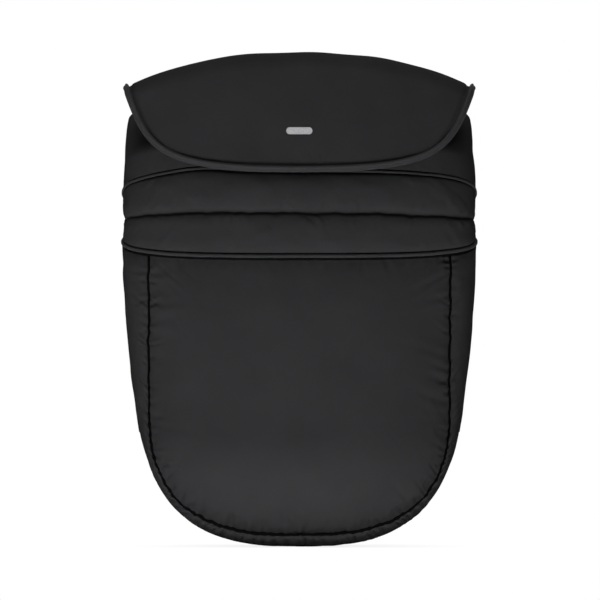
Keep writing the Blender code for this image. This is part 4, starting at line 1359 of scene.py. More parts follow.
class FrontPanel(Panel):
    """Large U-shaped front of the foot pocket."""

    name = "front_panel"
    filling = Filling(pressure=0.7, slack=0.09, reach=0.016, limit=0.004, fill=0.5)
    tucks = (1.0, 0.0)
    turns = (0.0026, 0.0)
    wadding = 0.006
    rows = 201
    columns = 217
    corner_heading = 0.8

    def __init__(self) -> None:
        """Lay out the face."""
        self.shape = PocketShape()
        points = self.raised(self.plan())
        self.along, self.away, way = self.shape.from_seam(points)
        cloth = Cloth(self.shape.wobbled(points, self.away))
        seam = nearest(cloth.left, cloth.right, cloth.foot)
        cloth.lean(FRONT, seam, self.shape.lean_reach)
        near = nearest(seam, cloth.top)
        loft = self.wadding * domed(near, 0.03)
        super().__init__(cloth, loft, 0.0, near, near < 0.0015)
        self.roll = self.shape.rolled(cloth.points, seam, way)

    def plan(self) -> Array:
        """Places of the points as seen from the front, before they are raised."""
        stations = self.shape.stations()
        seam, outline = stations[:, :2], stations[:, 2:4]
        edge = seam + unit(seam - outline) * self.shape.seam_gap / 2
        heading = np.diff(edge, axis=0)
        turned = np.arctan2(-heading[:, 0], -heading[:, 1])
        corner = int(np.argmax(turned > self.corner_heading))
        self.edge = edge
        along, across = paced(self.rows, 0.45), paced(self.columns, 0.45)
        left = resampled(edge[: corner + 1] * (-1, 1), along)
        right = resampled(edge[: corner + 1], along)
        foot = resampled(np.vstack([edge[corner:] * (-1, 1), edge[corner:-1][::-1]]), across)
        top = mix(left[0], right[0], across[:, None])
        return patch((top, foot, left, right), across, along)

    def raised(self, plan: Array) -> Array:
        """Points of the face over their places in plan."""
        shape, edge = self.shape, self.edge
        x, z = plan[..., 0], plan[..., 1]
        spine = COVER.below(shape.spine)
        side_x = np.maximum(np.interp(-z, -edge[:, 1], edge[:, 0]), 1e-9)
        low = edge[:, 1] < spine
        around = np.arctan2(edge[low, 0], spine - edge[low, 1])[::-1]
        far = np.hypot(edge[low, 0], spine - edge[low, 1])[::-1]
        turn = np.arctan2(np.abs(x), np.maximum(spine - z, 1e-9))
        ray = np.hypot(x, spine - z) / np.interp(turn, around, far)
        reach = np.clip(np.where(z > spine, np.abs(x) / side_x, ray), 0.0, 1.0)
        level = COVER.below(COVER.lower_piping)
        down = ease((level - z) / (level - spine))
        crown = mix(shape.crown_top, shape.crown, down)
        crown = crown * (1.0 - reach**shape.flatness) ** shape.sharpness
        top = shape.top_share(z)
        front = shape.body_front(x)
        y = mix(shape.seam_y - crown, front, top) + shape.recess(z)
        z = z + top * COVER.lower_rise * COVER.wrap(front)
        return np.stack([x, y, z], axis=-1)

    def creases(self) -> Array:
        """Puckers in from the seam and down from the piping, over a softly uneven face."""
        cloth = self.cloth
        height = Puckers(0.0085, 0.01, 0.0016, 0.002, 41, 0.6).height(self.along, self.away)
        height += Puckers(0.02, 0.026, 0.001, 0.0034, 42, 0.5).height(self.along, self.away)
        height += Folds(0.0095, 0.0008, 0.007, 52, 0.3).height(self.along, self.away)
        height += Puckers(0.01, 0.012, 0.0009, 0.0022, 44).height(cloth.across, cloth.top)
        soft = rumple(cloth.across, 0.6 * cloth.down, 0.1, 45) * domed(self.near, 0.06)
        return height + 0.0007 * soft


class Gusset(Panel):
    """Padded wall round the pocket, from the front seam to the hem at the back."""

    name = "gusset"
    filling = Filling(pressure=3.0, slack=0.15, reach=0.01, limit=0.0022, fill=0.6)
    tucks = (1.0, 1.0)
    wadding = 0.004
    pull_share = 0.55
    seam_dip = 0.002
    foot_rise = 0.003
    edge_round = 0.012
    end_turn = 0.0026
    fold_least = 0.13
    fold_foot = 0.3
    fold_corners = 0.57
    foot_share = (0.52, 0.28)
    corner_share = (0.14, 0.07)
    rows = 521
    columns = 57

    def __init__(self, shape: PocketShape) -> None:
        """Lay out the face."""
        self.shape = shape
        half_rows = (self.rows + 1) // 2
        stations = shape.stations()
        places = resampled(stations, evenly(half_rows), 4)
        self.marks = places[:, 4]
        half = np.array([self.line(place) for place in places])
        points = np.concatenate([half * FLIP, half[-2::-1]])[:, ::-1]
        along, _, way = shape.from_seam(points)
        self.along = along[:, -1:]
        cloth = Cloth(shape.wobbled(points, walked(points[:, ::-1], 1)[:, ::-1]))
        cloth.lean(FRONT, cloth.right, shape.lean_reach)
        ends = nearest(cloth.top, cloth.foot)
        near = nearest(cloth.right, cloth.left, ends)
        loft = self.wadding * domed(near - 0.001, 0.016)
        held = (cloth.right < 0.001) | (cloth.left < 0.007) | (ends < 0.001)
        super().__init__(cloth, loft, 0.0, near, held)
        turn = (1.0 - domed(ends, self.turn_reach))[..., None] * (0.0, 0.0, self.end_turn)
        self.roll = shape.rolled(cloth.points, cloth.right, way) - turn

    def line(self, place: Array) -> Array:
        """Points from the seam across the wall to its hem, at one place of the U."""
        shape = self.shape
        seam, outline = place[:2], place[2:4]
        width = float(np.linalg.norm(outline - seam))
        way = (outline - seam) / width
        span = COVER.height - COVER.lower_piping
        low = float(ease(np.array((COVER.below(COVER.lower_piping) - seam[1]) / span)))
        leave = shape.seam_y + mix(self.seam_dip, -self.foot_rise, low)
        bend = bezier((shape.seam_gap / 2, shape.seam_y), (self.pull_share * width, leave),
                      (width, shape.seam_y + self.edge_round), (width, COVER.side_y),
                      evenly(61))
        wing = evenly(17)[1:]
        tuck = COVER.wing_tuck * (1.0 - float(ease(np.array(2.0 * low - 1.0))))
        hem = mix(COVER.hem_y, COVER.foot_hem_y, low)
        back = np.column_stack([width - tuck * wing, mix(COVER.side_y, hem, wing)])
        shares = evenly(self.columns) ** 1.15
        path = resampled(np.vstack([bend, back]), shares)
        flat = seam + way * path[:, :1]
        top = shape.top_share(flat[:, 1])
        y = path[:, 1]
        front = shape.body_front(flat[:, 0])
        y = np.where(y < COVER.side_y, mix(y, front, top), y)
        z = flat[:, 1] + top * COVER.lower_rise * COVER.wrap(np.where(y < COVER.side_y, front, y))
        y = y + shape.recess(flat[:, 1]) * ease((COVER.side_y - y) / 0.02)
        return np.column_stack([flat[:, 0], y, z])

    def creases(self) -> Array:
        """Folds across the wall from its seam, strongest round the foot."""
        cloth = self.cloth
        along = np.broadcast_to(self.along, self.near.shape)
        total = along.max()
        middle, reach = self.foot_share
        foot = np.exp(-(((along - middle * total) / (reach * total)) ** 4))
        corner, reach = self.corner_share
        corners = hill(np.abs(along / total - 0.5) - corner, reach)
        height = Puckers(0.0085, 0.012, 0.0018, 0.002, 41, 0.6).height(along, cloth.right)
        folds = Folds(0.0095, 0.0076, 0.026, 52, 0.35, 0.0005).height(along, cloth.right)
        hem = Puckers(0.014, 0.012, 0.0006, 0.0026, 53).height(along, cloth.left)
        soft = rumple(cloth.down, 2.0 * cloth.across, 0.05, 54) * domed(self.near, 0.02)
        folds *= self.fold_least + self.fold_foot * foot + self.fold_corners * corners
        return height * (1.0 - 0.6 * foot) + folds + hem * ease(cloth.left / 0.008) + 0.0006 * soft


@dataclass(frozen=True)
class Binding:
    """Folded tape round a cut edge.

    Attributes:
        slot: Half of the room for the panel's edge.
        tape: Thickness of the tape.
        reach: How far the tape lies on the panel.
        fold: How far the room goes beyond the panel's edge.
        bulge: How far the tape bulges between its stitches and its fold.
        stitch_in: Distance of the stitches from the tape's inner edge.
        stitch_sink: How deep the stitches lie in the tape.
    """

    slot: float = 0.0022
    tape: float = 0.0011
    reach: float = 0.0055
    fold: float = 0.0009
    bulge: float = 0.0015
    stitch_in: float = 0.0013
    stitch_sink: float = 0.00005

    def profile(self) -> Array:
        """(outward, facing) pairs round the folded tape."""
        half = self.slot + self.tape
        tip = self.fold + self.tape
        round_reach = min(tip + 0.3 * self.reach, half)
        outer = self.arc(tip, round_reach, half, 13)
        inner = self.arc(self.fold, min(self.slot, 0.3 * self.reach + self.fold), self.slot, 7)
        lip, far = self.tape / 2, -self.reach
        lips = np.array([(far + 0.2 * lip, self.slot), (far, self.slot + 0.2 * self.tape),
                         (far + 0.3 * lip, half - 0.25 * self.tape), (far + lip, half - 0.0001)])
        t = evenly(9)[1:-1]
        rise = np.column_stack([mix(far + 0.3 * lip, tip - round_reach, t),
                                half + self.bulge * np.sin(math.pi * t)])
        front = np.vstack([lips, rise])
        return np.vstack([front, outer, front[::-1] * (1.0, -1.0), inner[::-1]])

    @staticmethod
    def arc(tip: float, reach: float, half: float, count: int) -> Array:
        """Half oval from the front of the tape round its fold to the back."""
        turn = np.linspace(math.pi / 2, -math.pi / 2, count)
        return np.column_stack([tip - reach + reach * np.cos(turn), half * np.sin(turn)])

    def sewn(self, names: tuple[str, str], frames: Frames, finishes: Finishes, body: str,
             node: str) -> None:
        """Build the tape along an edge, and the row of stitches on its face."""
        tape = swept(names[0], frames, self.profile())
        dressed(tape, finishes.trim, body, "trim_tape", node)
        middle, out, face = frames
        rise = self.slot + self.tape - self.stitch_sink
        line = middle - out * (self.reach - self.stitch_in) + face * rise
        dressed(stitched(names[1], line, face), finishes.thread, body, "trim_tape")


def stitched(name: str, line: Array, face: Array, length: float = 0.0024, space: float = 0.0009,
             radius: float = 0.00028) -> Item:
    """Row of thread stitches along a line.

    Args:
        name: Name of the piece.
        line: Points of the line.
        face: Way out of the cloth at each point.
        length: Length of one stitch.
        space: Space between two stitches.
        radius: Half thickness of the thread.
    """
    total = float(walked(line)[-1])
    count = int(total / (length + space))
    starts = (np.arange(count) + 0.5) * total / count
    track = np.column_stack([line, face])
    rings, sides = 5, 6
    shares = np.linspace(-0.5, 0.5, rings)
    size = np.array([0.25, 0.85, 1.0, 0.85, 0.25])
    sink = np.array([-1.1, -0.25, 0.0, -0.25, -1.1]) * radius
    turn = np.arange(sides) * TURN / sides
    places = (starts[:, None] + shares[None] * length).ravel() / total
    at = resampled(track, np.clip(places, 0.0, 1.0), 3)
    middle, up = at[:, :3], unit(at[:, 3:])
    side = unit(np.cross(headings(middle), up))
    scale = np.tile(size, count)[:, None, None] * radius
    middle = middle + up * np.tile(sink, count)[:, None]
    ring = side[:, None] * np.cos(turn)[None, :, None] + up[:, None] * np.sin(turn)[None, :, None]
    points = (middle[:, None] + ring * scale).reshape(-1, 3)
    faces = tube_faces(np.arange(count * rings * sides).reshape(count, rings, sides))
    uv = np.zeros((len(points), 2))
    uv[:, 0] = np.repeat(walked(middle), sides)
    item = mesh_piece(name, points, faces, uv)
    outward_faces(item)
    return item


def joined_frames(parts: Sequence[Frames], step: float) -> Frames:
    """Frames of several edges as one even run."""
    track = np.column_stack([np.vstack(column) for column in zip(*parts)])
    count = int(walked(track[:, :3])[-1] / step)
    even = resampled(track, evenly(count), 3)
    for _ in range(3):
        even[1:-1] = (even[:-2] + 2 * even[1:-1] + even[2:]) / 4
    middle, out, face = even[:, :3], even[:, 3:6], even[:, 6:]
    heading = headings(middle)
    out = unit(square_to(out, heading))
    return middle, out, unit(square_to(square_to(face, heading), out))


class Flap:
    """The flap: its padded panel, the binding round it and the reflective bar."""

    bar_size = (0.03, 0.008, 0.0005)
    bar_rim = 0.0003
    seam_radius = 0.0009
    seam_sides = 12

    def __init__(self) -> None:
        """Lay out the panel."""
        self.panel = FlapPanel()

    def build(self, pump: Pump, finishes: Finishes) -> None:
        """Build the flap's pieces."""
        self.panel.finished(pump, finishes)
        cloth = self.panel.cloth
        rows, columns = cloth.points.shape[:2]
        down, right = np.arange(2, rows), np.arange(columns)
        up = down[::-1]
        frames = joined_frames([
            cloth.edge(down, 0, down, 1),
            cloth.edge(rows - 1, right, rows - 2, np.clip(right, 1, columns - 2)),
            cloth.edge(up, columns - 1, up, columns - 2),
        ], 0.0018)
        Binding().sewn(("flap_binding_tape", "flap_binding_stitches"), frames, finishes, "flap",
                       "flap_binding")
        dressed(self.bar(), finishes.film, "flap", "reflective_film", "reflective_bar")
        # The hinge seam is near-black: a painted shadow line.
        dressed(self.hinge_seam(), finishes.seam, "cover", "trim_tape")

    def hinge_seam(self) -> Item:
        """Bound seam on the flap's hinge line, which closes the joint at every pose; its
        near-black colour is painted shade, a shadow line along the hinge.
        """
        half = self.panel.shape.hinge_half
        ends = np.array([(x, COVER.hinge_y, COVER.below(COVER.top_edge)) for x in (-half, half)])
        middle = resampled(ends, evenly(self.panel.shape.columns))
        turn = np.arange(self.seam_sides) * TURN / self.seam_sides
        profile = self.seam_radius * np.column_stack([np.cos(turn), np.sin(turn)])
        frames = (middle, everywhere(BACK, middle), everywhere(UP, middle))
        return swept("flap_hinge_seam", frames, profile)

    def bar(self) -> Item:
        """Plain bar with round ends, lying on the flap's face."""
        low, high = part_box("reflective_bar")
        middle = (low + high) / 2
        width, height, thickness = self.bar_size
        deselect()
        bpy.ops.mesh.primitive_plane_add(size=1.0)
        item = bpy.context.object
        item.name = item.data.name = "reflective_bar_film"
        item.data.transform(Matrix.Diagonal((width, height, 1.0, 1.0)))
        bpy.ops.object.mode_set(mode="EDIT")
        ends = {"offset": height / 2 - 0.00001, "segments": 10, "affect": "VERTICES"}
        rise = {"TRANSFORM_OT_translate": {"value": (0, 0, thickness)}}
        for step, settings in (("bevel", ends), ("inset", {"thickness": self.bar_rim}),
                               ("extrude_region_move", rise),
                               ("normals_make_consistent", {"inside": False})):
            bpy.ops.mesh.select_all(action="SELECT")
            getattr(bpy.ops.mesh, step)(**settings)
        bpy.ops.object.mode_set(mode="OBJECT")
        lean = math.atan2(high.y - low.y - thickness, high.z - low.z)
        turn = Euler((math.pi / 2 - lean, 0.0, 0.0)).to_matrix().to_4x4()
        item.data.transform(Matrix.Translation(middle + Vector((0, thickness / 2, 0))) @ turn)
        return item


def deselect() -> None:
    """Select nothing, in object mode."""
    if bpy.context.object and bpy.context.object.mode != "OBJECT":
        bpy.ops.object.mode_set(mode="OBJECT")
    bpy.ops.object.select_all(action="DESELECT")


@dataclass
class Piping:
    """Thin cord in a sleeve of tape whose flat flange is sewn in a seam round the body."""

    name: str
    height: Callable[[Array], Array]
    radius: float
    # tape: how far the near-black strip behind the cord reaches above and below it, as painted
    # shade.
    tape: tuple[float, float]
    steps_per_rib = 4
    rib = 0.0018
    sides = 17
    end_room = 0.008
    end_steps = 6.0
    flange_depth = 0.007
    rib_height = 0.07
    wander = 0.0002
    wander_size = 0.05
    painted_shade_depths = (-0.0008, -0.004)

    def build(self, finishes: Finishes) -> None:
        """Build the cord with its crosswise ribs, and a near-black strip behind it, a little
        taller than the cord, as painted shade above and below the piping.
        """
        line = COVER.section(COVER.piping_half, COVER.front_y, COVER.side_y, evenly(401))
        path = np.column_stack([line, self.height(line)])
        total = float(walked(path)[-1])
        count = int(total / self.rib) * self.steps_per_rib
        spare = self.end_room / total
        middle = resampled(path, np.linspace(spare, 1.0 - spare, count))
        heading = headings(middle)
        up = unit(square_to(everywhere(UP, heading), heading))
        out = np.cross(heading, up)
        leave = math.pi - math.asin(COVER.flange / self.radius)
        turn = np.linspace(-leave, leave, self.sides)
        sleeve = self.radius * np.column_stack([np.cos(turn), np.sin(turn)])
        flange = [(-self.flange_depth, COVER.flange), (-self.flange_depth, -COVER.flange)]
        number = np.arange(count)
        ribs = 1.0 + self.rib_height * np.sin(number * TURN / self.steps_per_rib)
        ends = domed(np.minimum(number, number[::-1]) + 1.0, self.end_steps)
        wander = self.wander * rumple(walked(middle), np.zeros(count), self.wander_size, 61)
        frames = (middle + up * wander[:, None], out, up)
        cord = swept(f"{self.name}_cord", frames, np.vstack([sleeve, flange]), ribs * ends)
        dressed(cord, finishes.trim, "cover", "trim_tape", self.name)
        # The strip behind the cord is near-black: painted shade above and below the piping.
        above, below = self.radius + self.tape[0], -self.radius - self.tape[1]
        front, back = self.painted_shade_depths
        profile = np.array([(back, below), (front, below), (front, above), (back, above)])
        tape = swept(f"{self.name}_seam_tape", frames, profile)
        dressed(tape, finishes.seam, "cover", "trim_tape")


class UpperBody:
    """The cover's body between the flap and the foot pocket."""

    def __init__(self) -> None:
        """Lay out the panels and the pipings."""
        self.panel = BodyPanel()
        self.band = Band()
        self.pipings = (
            Piping("upper_piping", COVER.upper_piping_z, COVER.upper_cord, (0.0009, 0.0007)),
            Piping("lower_piping", COVER.lower_piping_z, COVER.lower_cord, (0.0007, 0.0024)),
        )

    def build(self, pump: Pump, finishes: Finishes) -> None:
        """Build the body's pieces."""
        self.panel.finished(pump, finishes)
        self.band.finished(pump, finishes)
        for piping in self.pipings:
            piping.build(finishes)


class FootPocket:
    """The foot pocket: front panel, gusset, heel panel and the bound edges at the back."""

    heel_mark = 1.0 + 2.0 / 7.0
    hem_mark = 1.0 + 1.0 / 7.0
    heel_bulge = 0.01
    heel_land = 0.008
    heel_rows = 61
    heel_columns = 121
    heel_inset = 0.006
    heel_fold = 0.0059
    scallop = 0.00025
    scallop_pitch = 0.0085
    elastic = (0.0005, 0.0054, 0.0006)
    # The seam allowance, the seam strip and the heel strip are near-black: painted shade in the
    # seams.
    allowance = (0.0005, 0.0072)
    painted_shade_strip = (0.0013, 0.0009, 0.0006)
    heel_painted_shade_profile = ((0.0005, -0.0004), (0.0014, -0.003), (0.0024, -0.003), (0.0022, 0.0024),
                  (0.0005, 0.0024))

    def __init__(self) -> None:
        """Lay out the panels."""
        self.front = FrontPanel()
        self.gusset = Gusset(self.front.shape)

    def build(self, pump: Pump, finishes: Finishes, upper: UpperBody) -> None:
        """Build the pocket's pieces."""
        self.front.finished(pump, finishes)
        self.gusset.finished(pump, finishes)
        self.seam_allowance(finishes)
        self.heel(finishes)
        for side in (-1, 1):
            self.hem(side, upper, finishes)

    def seam_allowance(self, finishes: Finishes) -> None:
        """Bound edges of the cloth, standing inwards along the pocket's front seam, and a strip in
        the seam's groove; both are near-black, painted shade at the bottom of the seam.
        """
        shape = self.front.shape
        path = shape.seam_path()
        path = shape.wobbled(path, np.zeros(len(path)))
        face = everywhere(FRONT, path)
        out = unit(np.cross(face, headings(path)))
        wide, depth = self.allowance
        seam_depth = -COVER.layers.seam - 0.0001
        half = [(wide / 2, seam_depth), (wide, seam_depth - 2 * wide), (wide, -depth + wide)]
        profile = np.array(half + [(0.0, -depth)] + [(-x, y) for x, y in reversed(half)])
        # The seam allowance is a real fin, but its near-black colour is painted shade.
        item = swept("pocket_seam_allowance", (path, out, face), profile)
        dressed(item, finishes.seam, "cover", "trim_tape")
        # Near-black strip in the seam's groove, wider round the foot: painted shade.
        wide, top, thick = self.painted_shade_strip
        half = np.array([(0.0, 0.0002), (0.6 * wide, 0.0001), (wide, -0.0001), (wide, -thick)])
        profile = np.vstack([half, (half * (-1, 1))[:0:-1]])
        size = mix(1.0, shape.foot_roll, shape.low(path[:, 2]))
        item = swept("pocket_seam_tape", (path - face * top, out, face), profile, size)
        dressed(item, finishes.seam, "cover", "trim_tape")

    def heel(self, finishes: Finishes) -> None:
        """Back of the pocket with its gathered, bound and elasticated top edge."""
        cloth = self.gusset.cloth
        first = int(np.argmax(self.gusset.marks >= self.heel_mark))
        flat = int(np.argmax(self.gusset.marks >= 2.0))
        run = slice(first, len(cloth.points) - first)
        line = cloth.points[run, 0]
        frames = (line, unit(-cloth.normals[run, 0] * (1, 0, 1)), everywhere(BACK, line))
        # Near-black strip along the heel seam: painted shade.
        strip = swept("heel_seam_tape", frames, np.array(self.heel_painted_shade_profile))
        dressed(strip, finishes.seam, "cover", "trim_tape")
        edge = cloth.points[first:flat, 0]
        edge = np.vstack([edge[0] + unit(edge[0] - edge[1]) * self.heel_land, edge])
        left = resampled(edge, evenly(self.heel_rows))
        across = evenly(self.heel_columns)
        grid = mix(left[:, None], (left * FLIP)[:, None], across[None, :, None])
        down = np.linspace(1.0, 0.0, self.heel_rows)
        bulge = self.heel_bulge * (1.0 - (2.0 * across - 1.0) ** 2)
        layers = COVER.layers
        behind = layers.cloth + layers.gap
        back = self.front.shape.seam_gap + layers.cloth + behind
        grid[..., 1] += back + bulge[None] * np.sqrt(down)[:, None]
        panel = Cloth(grid[:, ::-1])
        gathers = Puckers(0.011, 0.035, 0.0009, 0.0032, 71, 0.15).height(panel.across, panel.top)
        soft = 0.0008 * rumple(panel.across, panel.down, 0.05, 72) * domed(panel.foot, 0.02)
        wave = (gathers + soft) * domed(nearest(panel.left, panel.right), 0.012)
        for name, depth, finish, node, slot in (
            ("heel_cloth", 0.0, finishes.shell, "heel_shell", "shell_cloth"),
            ("heel_lining_cloth", behind, finishes.lining, "heel_lining", "lining_cloth"),
        ):
            outer, inner = panel.out(wave - depth), panel.out(wave - depth - layers.cloth)
            item = closed_pair(name, panel, outer, inner)
            dressed(item, finish, "cover", slot, node)
        self.heel_edge(panel, finishes)

    def heel_edge(self, panel: Cloth, finishes: Finishes) -> None:
        """Scalloped binding along the heel's top edge, with the elastic inside it."""
        columns = np.arange(self.heel_columns)
        frames = panel.edge(0, columns, 1, columns)
        along = walked(frames[0])
        inset = self.heel_inset
        keep = slice(*np.searchsorted(along, (inset, along[-1] - inset)))
        middle, out, face = joined_frames([tuple(part[keep] for part in frames)], 0.0016)
        along = walked(middle)
        wave = np.sin(along * TURN / self.scallop_pitch)
        wave += 0.5 * rumple(along, along, 0.02, 73)
        frames = (middle + face * self.scallop * wave[:, None], out, face)
        Binding(fold=self.heel_fold).sewn(("heel_binding_tape", "heel_binding_stitches"), frames,
                                          finishes, "cover", "heel_binding")
        near, far, half = self.elastic
        ribbon = np.array([(near, half), (far, half), (far, -half), (near, -half)])
        dressed(swept("heel_elastic_band", frames, ribbon), finishes.elastic, "cover", "elastic",
                "heel_elastic")

    def hem(self, side: int, upper: UpperBody, finishes: Finishes) -> None:
        """Binding down one side of the opening at the back."""
        parts = []
        for cloth in (upper.panel.cloth, upper.band.cloth):
            rows, columns = cloth.points.shape[:2]
            run, column = np.arange(rows), 0 if side < 0 else columns - 1
            parts.append(cloth.edge(run, column, run, column - side))
        wall = self.gusset.cloth
        run = np.arange(int(np.argmax(self.gusset.marks >= self.hem_mark)) + 1)
        if side > 0:
            run = len(wall.points) - 1 - run
        parts.append(wall.edge(run, 0, run, 1))
        word = "left" if side < 0 else "right"
        Binding().sewn((f"hem_tape_{word}", f"hem_stitches_{word}"), joined_frames(parts, 0.002),
                       finishes, "cover", f"hem_binding_{word}")


@dataclass(frozen=True)
class PressStud:
    """One half of a press stud: a base with a post, or a ring that takes it."""

    radius: float = 0.0055
    base: float = 0.0007
    post_radius: float = 0.002
    post: float = 0.0014
    ring_wall: float = 0.0014
    ring_depth: float = 0.001
    ring_floor: float = 0.0002
    dimple_wall: float = 0.0008
    dimple: float = 0.0004
    edge: float = 0.00018
    sides: int = 48

    def finished(self, item: Item, name: str, node: str, facing: Vector, body: str,
                 finishes: Finishes) -> None:
        """Bevel the edges and put the piece where its node is, facing a given way."""
        bpy.ops.object.mode_set(mode="OBJECT")
        bevel = item.modifiers.new("Bevel", "BEVEL")
        bevel.width = self.edge
        bevel.segments = 3
        bevel.limit_method = "ANGLE"
        bpy.context.view_layer.objects.active = item
        bpy.ops.object.modifier_apply(modifier="Bevel")
        item.name = item.data.name = name
        low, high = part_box(node)
        middle = (low + high) / 2
        axis = max(range(3), key=lambda k: abs(facing[k]))
        middle[axis] = low[axis] if facing[axis] > 0 else high[axis]
        turn = facing.to_track_quat("Z", "Y").to_matrix().to_4x4()
        item.data.transform(Matrix.Translation(middle) @ turn)
        item.data.shade_smooth()
        dressed(item, finishes.metal, body, "stud_metal", node)

    def step(self, wall: float, height: float) -> None:
        """Leave a wall round the selected face and move what is inside it up or down."""
        bpy.ops.mesh.inset(thickness=wall)
        bpy.ops.mesh.extrude_region_move(TRANSFORM_OT_translate={"value": (0, 0, height)})

    def disc(self, depth: float) -> Item:
        """Plain disc that stands on its base at the origin, in edit mode with its top selected."""
        deselect()
        bpy.ops.mesh.primitive_cylinder_add(vertices=self.sides, radius=self.radius, depth=depth,
                                            location=(0, 0, depth / 2))
        item = bpy.context.object
        bpy.ops.object.transform_apply()
        for part in (item.data.polygons, item.data.edges, item.data.vertices):
            part.foreach_set("select", [False] * len(part))
        for face in item.data.polygons:
            face.select = face.center.z > depth - 1e-6 and len(face.vertices) == self.sides
        bpy.ops.object.mode_set(mode="EDIT")
        bpy.ops.mesh.select_mode(type="FACE")
        return item

    def male(self) -> Item:
        """Base with its post, which has a shallow dimple."""
        item = self.disc(self.base)
        self.step(self.radius - self.post_radius, self.post)
        self.step(self.dimple_wall, -self.dimple)
        return item

    def female(self) -> Item:
        """Ring with a rolled rim that the post stands in."""
        item = self.disc(self.ring_depth)
        self.step(self.ring_wall, self.ring_floor - self.ring_depth)
        return item


class SideStrap:
    """Webbing loop on a side wing, with its sewn patch and press stud."""

    width = 0.025
    cloth = 0.0014
    gap = 0.0003
    loop_depth = 0.027
    loop_room = 0.03
    bend = 0.006
    tab = 0.012
    edge_round = 0.0005
    step = 0.0008
    stitch_room = (0.0015, 0.002)
    stitch = (0.002, 0.0007, 0.0002)

    def __init__(self, side: int, joints: Sequence[dict]) -> None:
        """Find the strap's hinge and its stud in the frame."""
        self.side = side
        self.word = "left" if side < 0 else "right"
        joint = next(j for j in joints if j["name"] == f"strap_{self.word}_open")
        self.hinge = Vector(joint["pos_m"])
        low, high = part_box(f"strap_socket_{self.word}")
        near = min(abs(low.x), abs(high.x))
        self.front_x = near - self.cloth / 2 - self.gap

    def line(self) -> Array:
        """Middle line of the strap in plan, from its hinge to the stud tab."""
        rear_x, rear_y = abs(self.hinge.x), self.hinge.y
        inner_x, front_y = rear_x - self.loop_room, rear_y - self.loop_depth
        corners = np.array([(rear_x, rear_y), (inner_x, rear_y), (inner_x, front_y),
                            (self.front_x, front_y), (self.front_x, front_y - self.tab)])
        radii = (self.bend, self.bend, self.bend / 2)
        t = evenly(9)[:, None]
        points = [corners[:1]]
        for before, corner, after, radius in zip(corners, corners[1:], corners[2:], radii):
            start = corner + unit(before - corner) * radius
            end = corner + unit(after - corner) * radius
            points.append((1 - t) ** 2 * start + 2 * (1 - t) * t * corner + t * t * end)
        return np.vstack([*points, corners[-1:]])

    def web(self, name: str, plan: Array) -> Item:
        """Flat webbing standing on its edge along a line in plan."""
        total = float(walked(plan)[-1])
        plan = resampled(plan, evenly(max(int(total / self.step), 12)))
        height = np.full(len(plan), self.hinge.z)
        middle = np.column_stack([self.side * plan[:, 0], plan[:, 1], height])
        up = everywhere(UP, middle)
        half, thick = self.width / 2, self.cloth / 2
        flat, shoulder = half - self.edge_round, (half - 0.3 * self.edge_round, 0.7 * thick)
        top = np.array([(-half, 0.0), (-shoulder[0], shoulder[1]),
                        *((x, thick) for x in np.linspace(-flat, flat, 9)), shoulder, (half, 0.0)])
        profile = np.vstack([top, top[-2:0:-1] * (1.0, -1.0)])
        return swept(name, (middle, up, np.cross(headings(middle), up)), profile)

    def build(self, finishes: Finishes) -> None:
        """Build the strap's pieces."""
        line = self.line()
        body = f"strap_{self.word}"
        loop = self.web(f"{body}_webbing", line)
        dressed(loop, finishes.webbing, body, "webbing", body)
        low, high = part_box(f"strap_patch_{self.word}")
        x = abs(low.x + high.x) / 2
        patch = self.web(f"{body}_sewn_patch", np.array([(x, low.y), (x, high.y)]))
        dressed(patch, finishes.webbing, "cover", "webbing", f"strap_patch_{self.word}")
        dressed(self.patch_stitches(low, high), finishes.thread, "cover", "webbing")
        studs = PressStud()
        outward = Vector((self.side, 0, 0))
        studs.finished(studs.female(), f"{body}_socket", f"strap_socket_{self.word}", outward,
                       body, finishes)
        studs.finished(studs.male(), f"{body}_post", f"strap_stud_{self.word}", -outward,
                       "cover", finishes)

    def patch_stitches(self, low: Vector, high: Vector) -> Item:
        """Box of stitches round the sewn patch."""
        inner = (low.x if self.side > 0 else high.x) - self.side * 0.00005
        along, up = self.stitch_room
        y0, y1, z0, z1 = low.y + along, high.y - along, low.z + up, high.z - up
        corners = ((y0, z0), (y1, z0), (y1, z1), (y0, z1), (y0, z0))
        line = np.array([(inner, y, z) for y, z in corners])
        face = everywhere((-float(self.side), 0.0, 0.0), line)
        return stitched(f"strap_{self.word}_stitches", line, face, *self.stitch)


def flap_studs(finishes: Finishes) -> None:
    """Build the press studs that hold the flap shut, with their sockets on its lining."""
    studs = PressStud()
    for word in ("left", "right"):
        stud, socket = f"body_stud_{word}", f"flap_socket_{word}"
        studs.finished(studs.male(), f"{stud}_post", stud, Vector(FRONT), "cover", finishes)
        studs.finished(studs.female(), f"{socket}_ring", socket, Vector(BACK), "flap", finishes)


@dataclass(frozen=True)
class Lamp:
    """Soft rectangular lamp that looks at a point, with its power in watts."""

    name: str
    place: tuple[float, float, float]
    size: tuple[float, float]
    power: float
    aim: tuple[float, float, float] = (0.0, 0.0, -0.26)

    def build(self) -> None:
        """Add the lamp to the scene."""
        data = bpy.data.lights.new(self.name, "AREA")
        data.shape = "RECTANGLE"
        data.size, data.size_y = self.size
        data.energy = self.power
        item = added(self.name, data)
        item.location = self.place
        item.visible_camera = False
        way = Vector(self.aim) - Vector(self.place)
        item.rotation_euler = way.to_track_quat("-Z", "Y").to_euler()


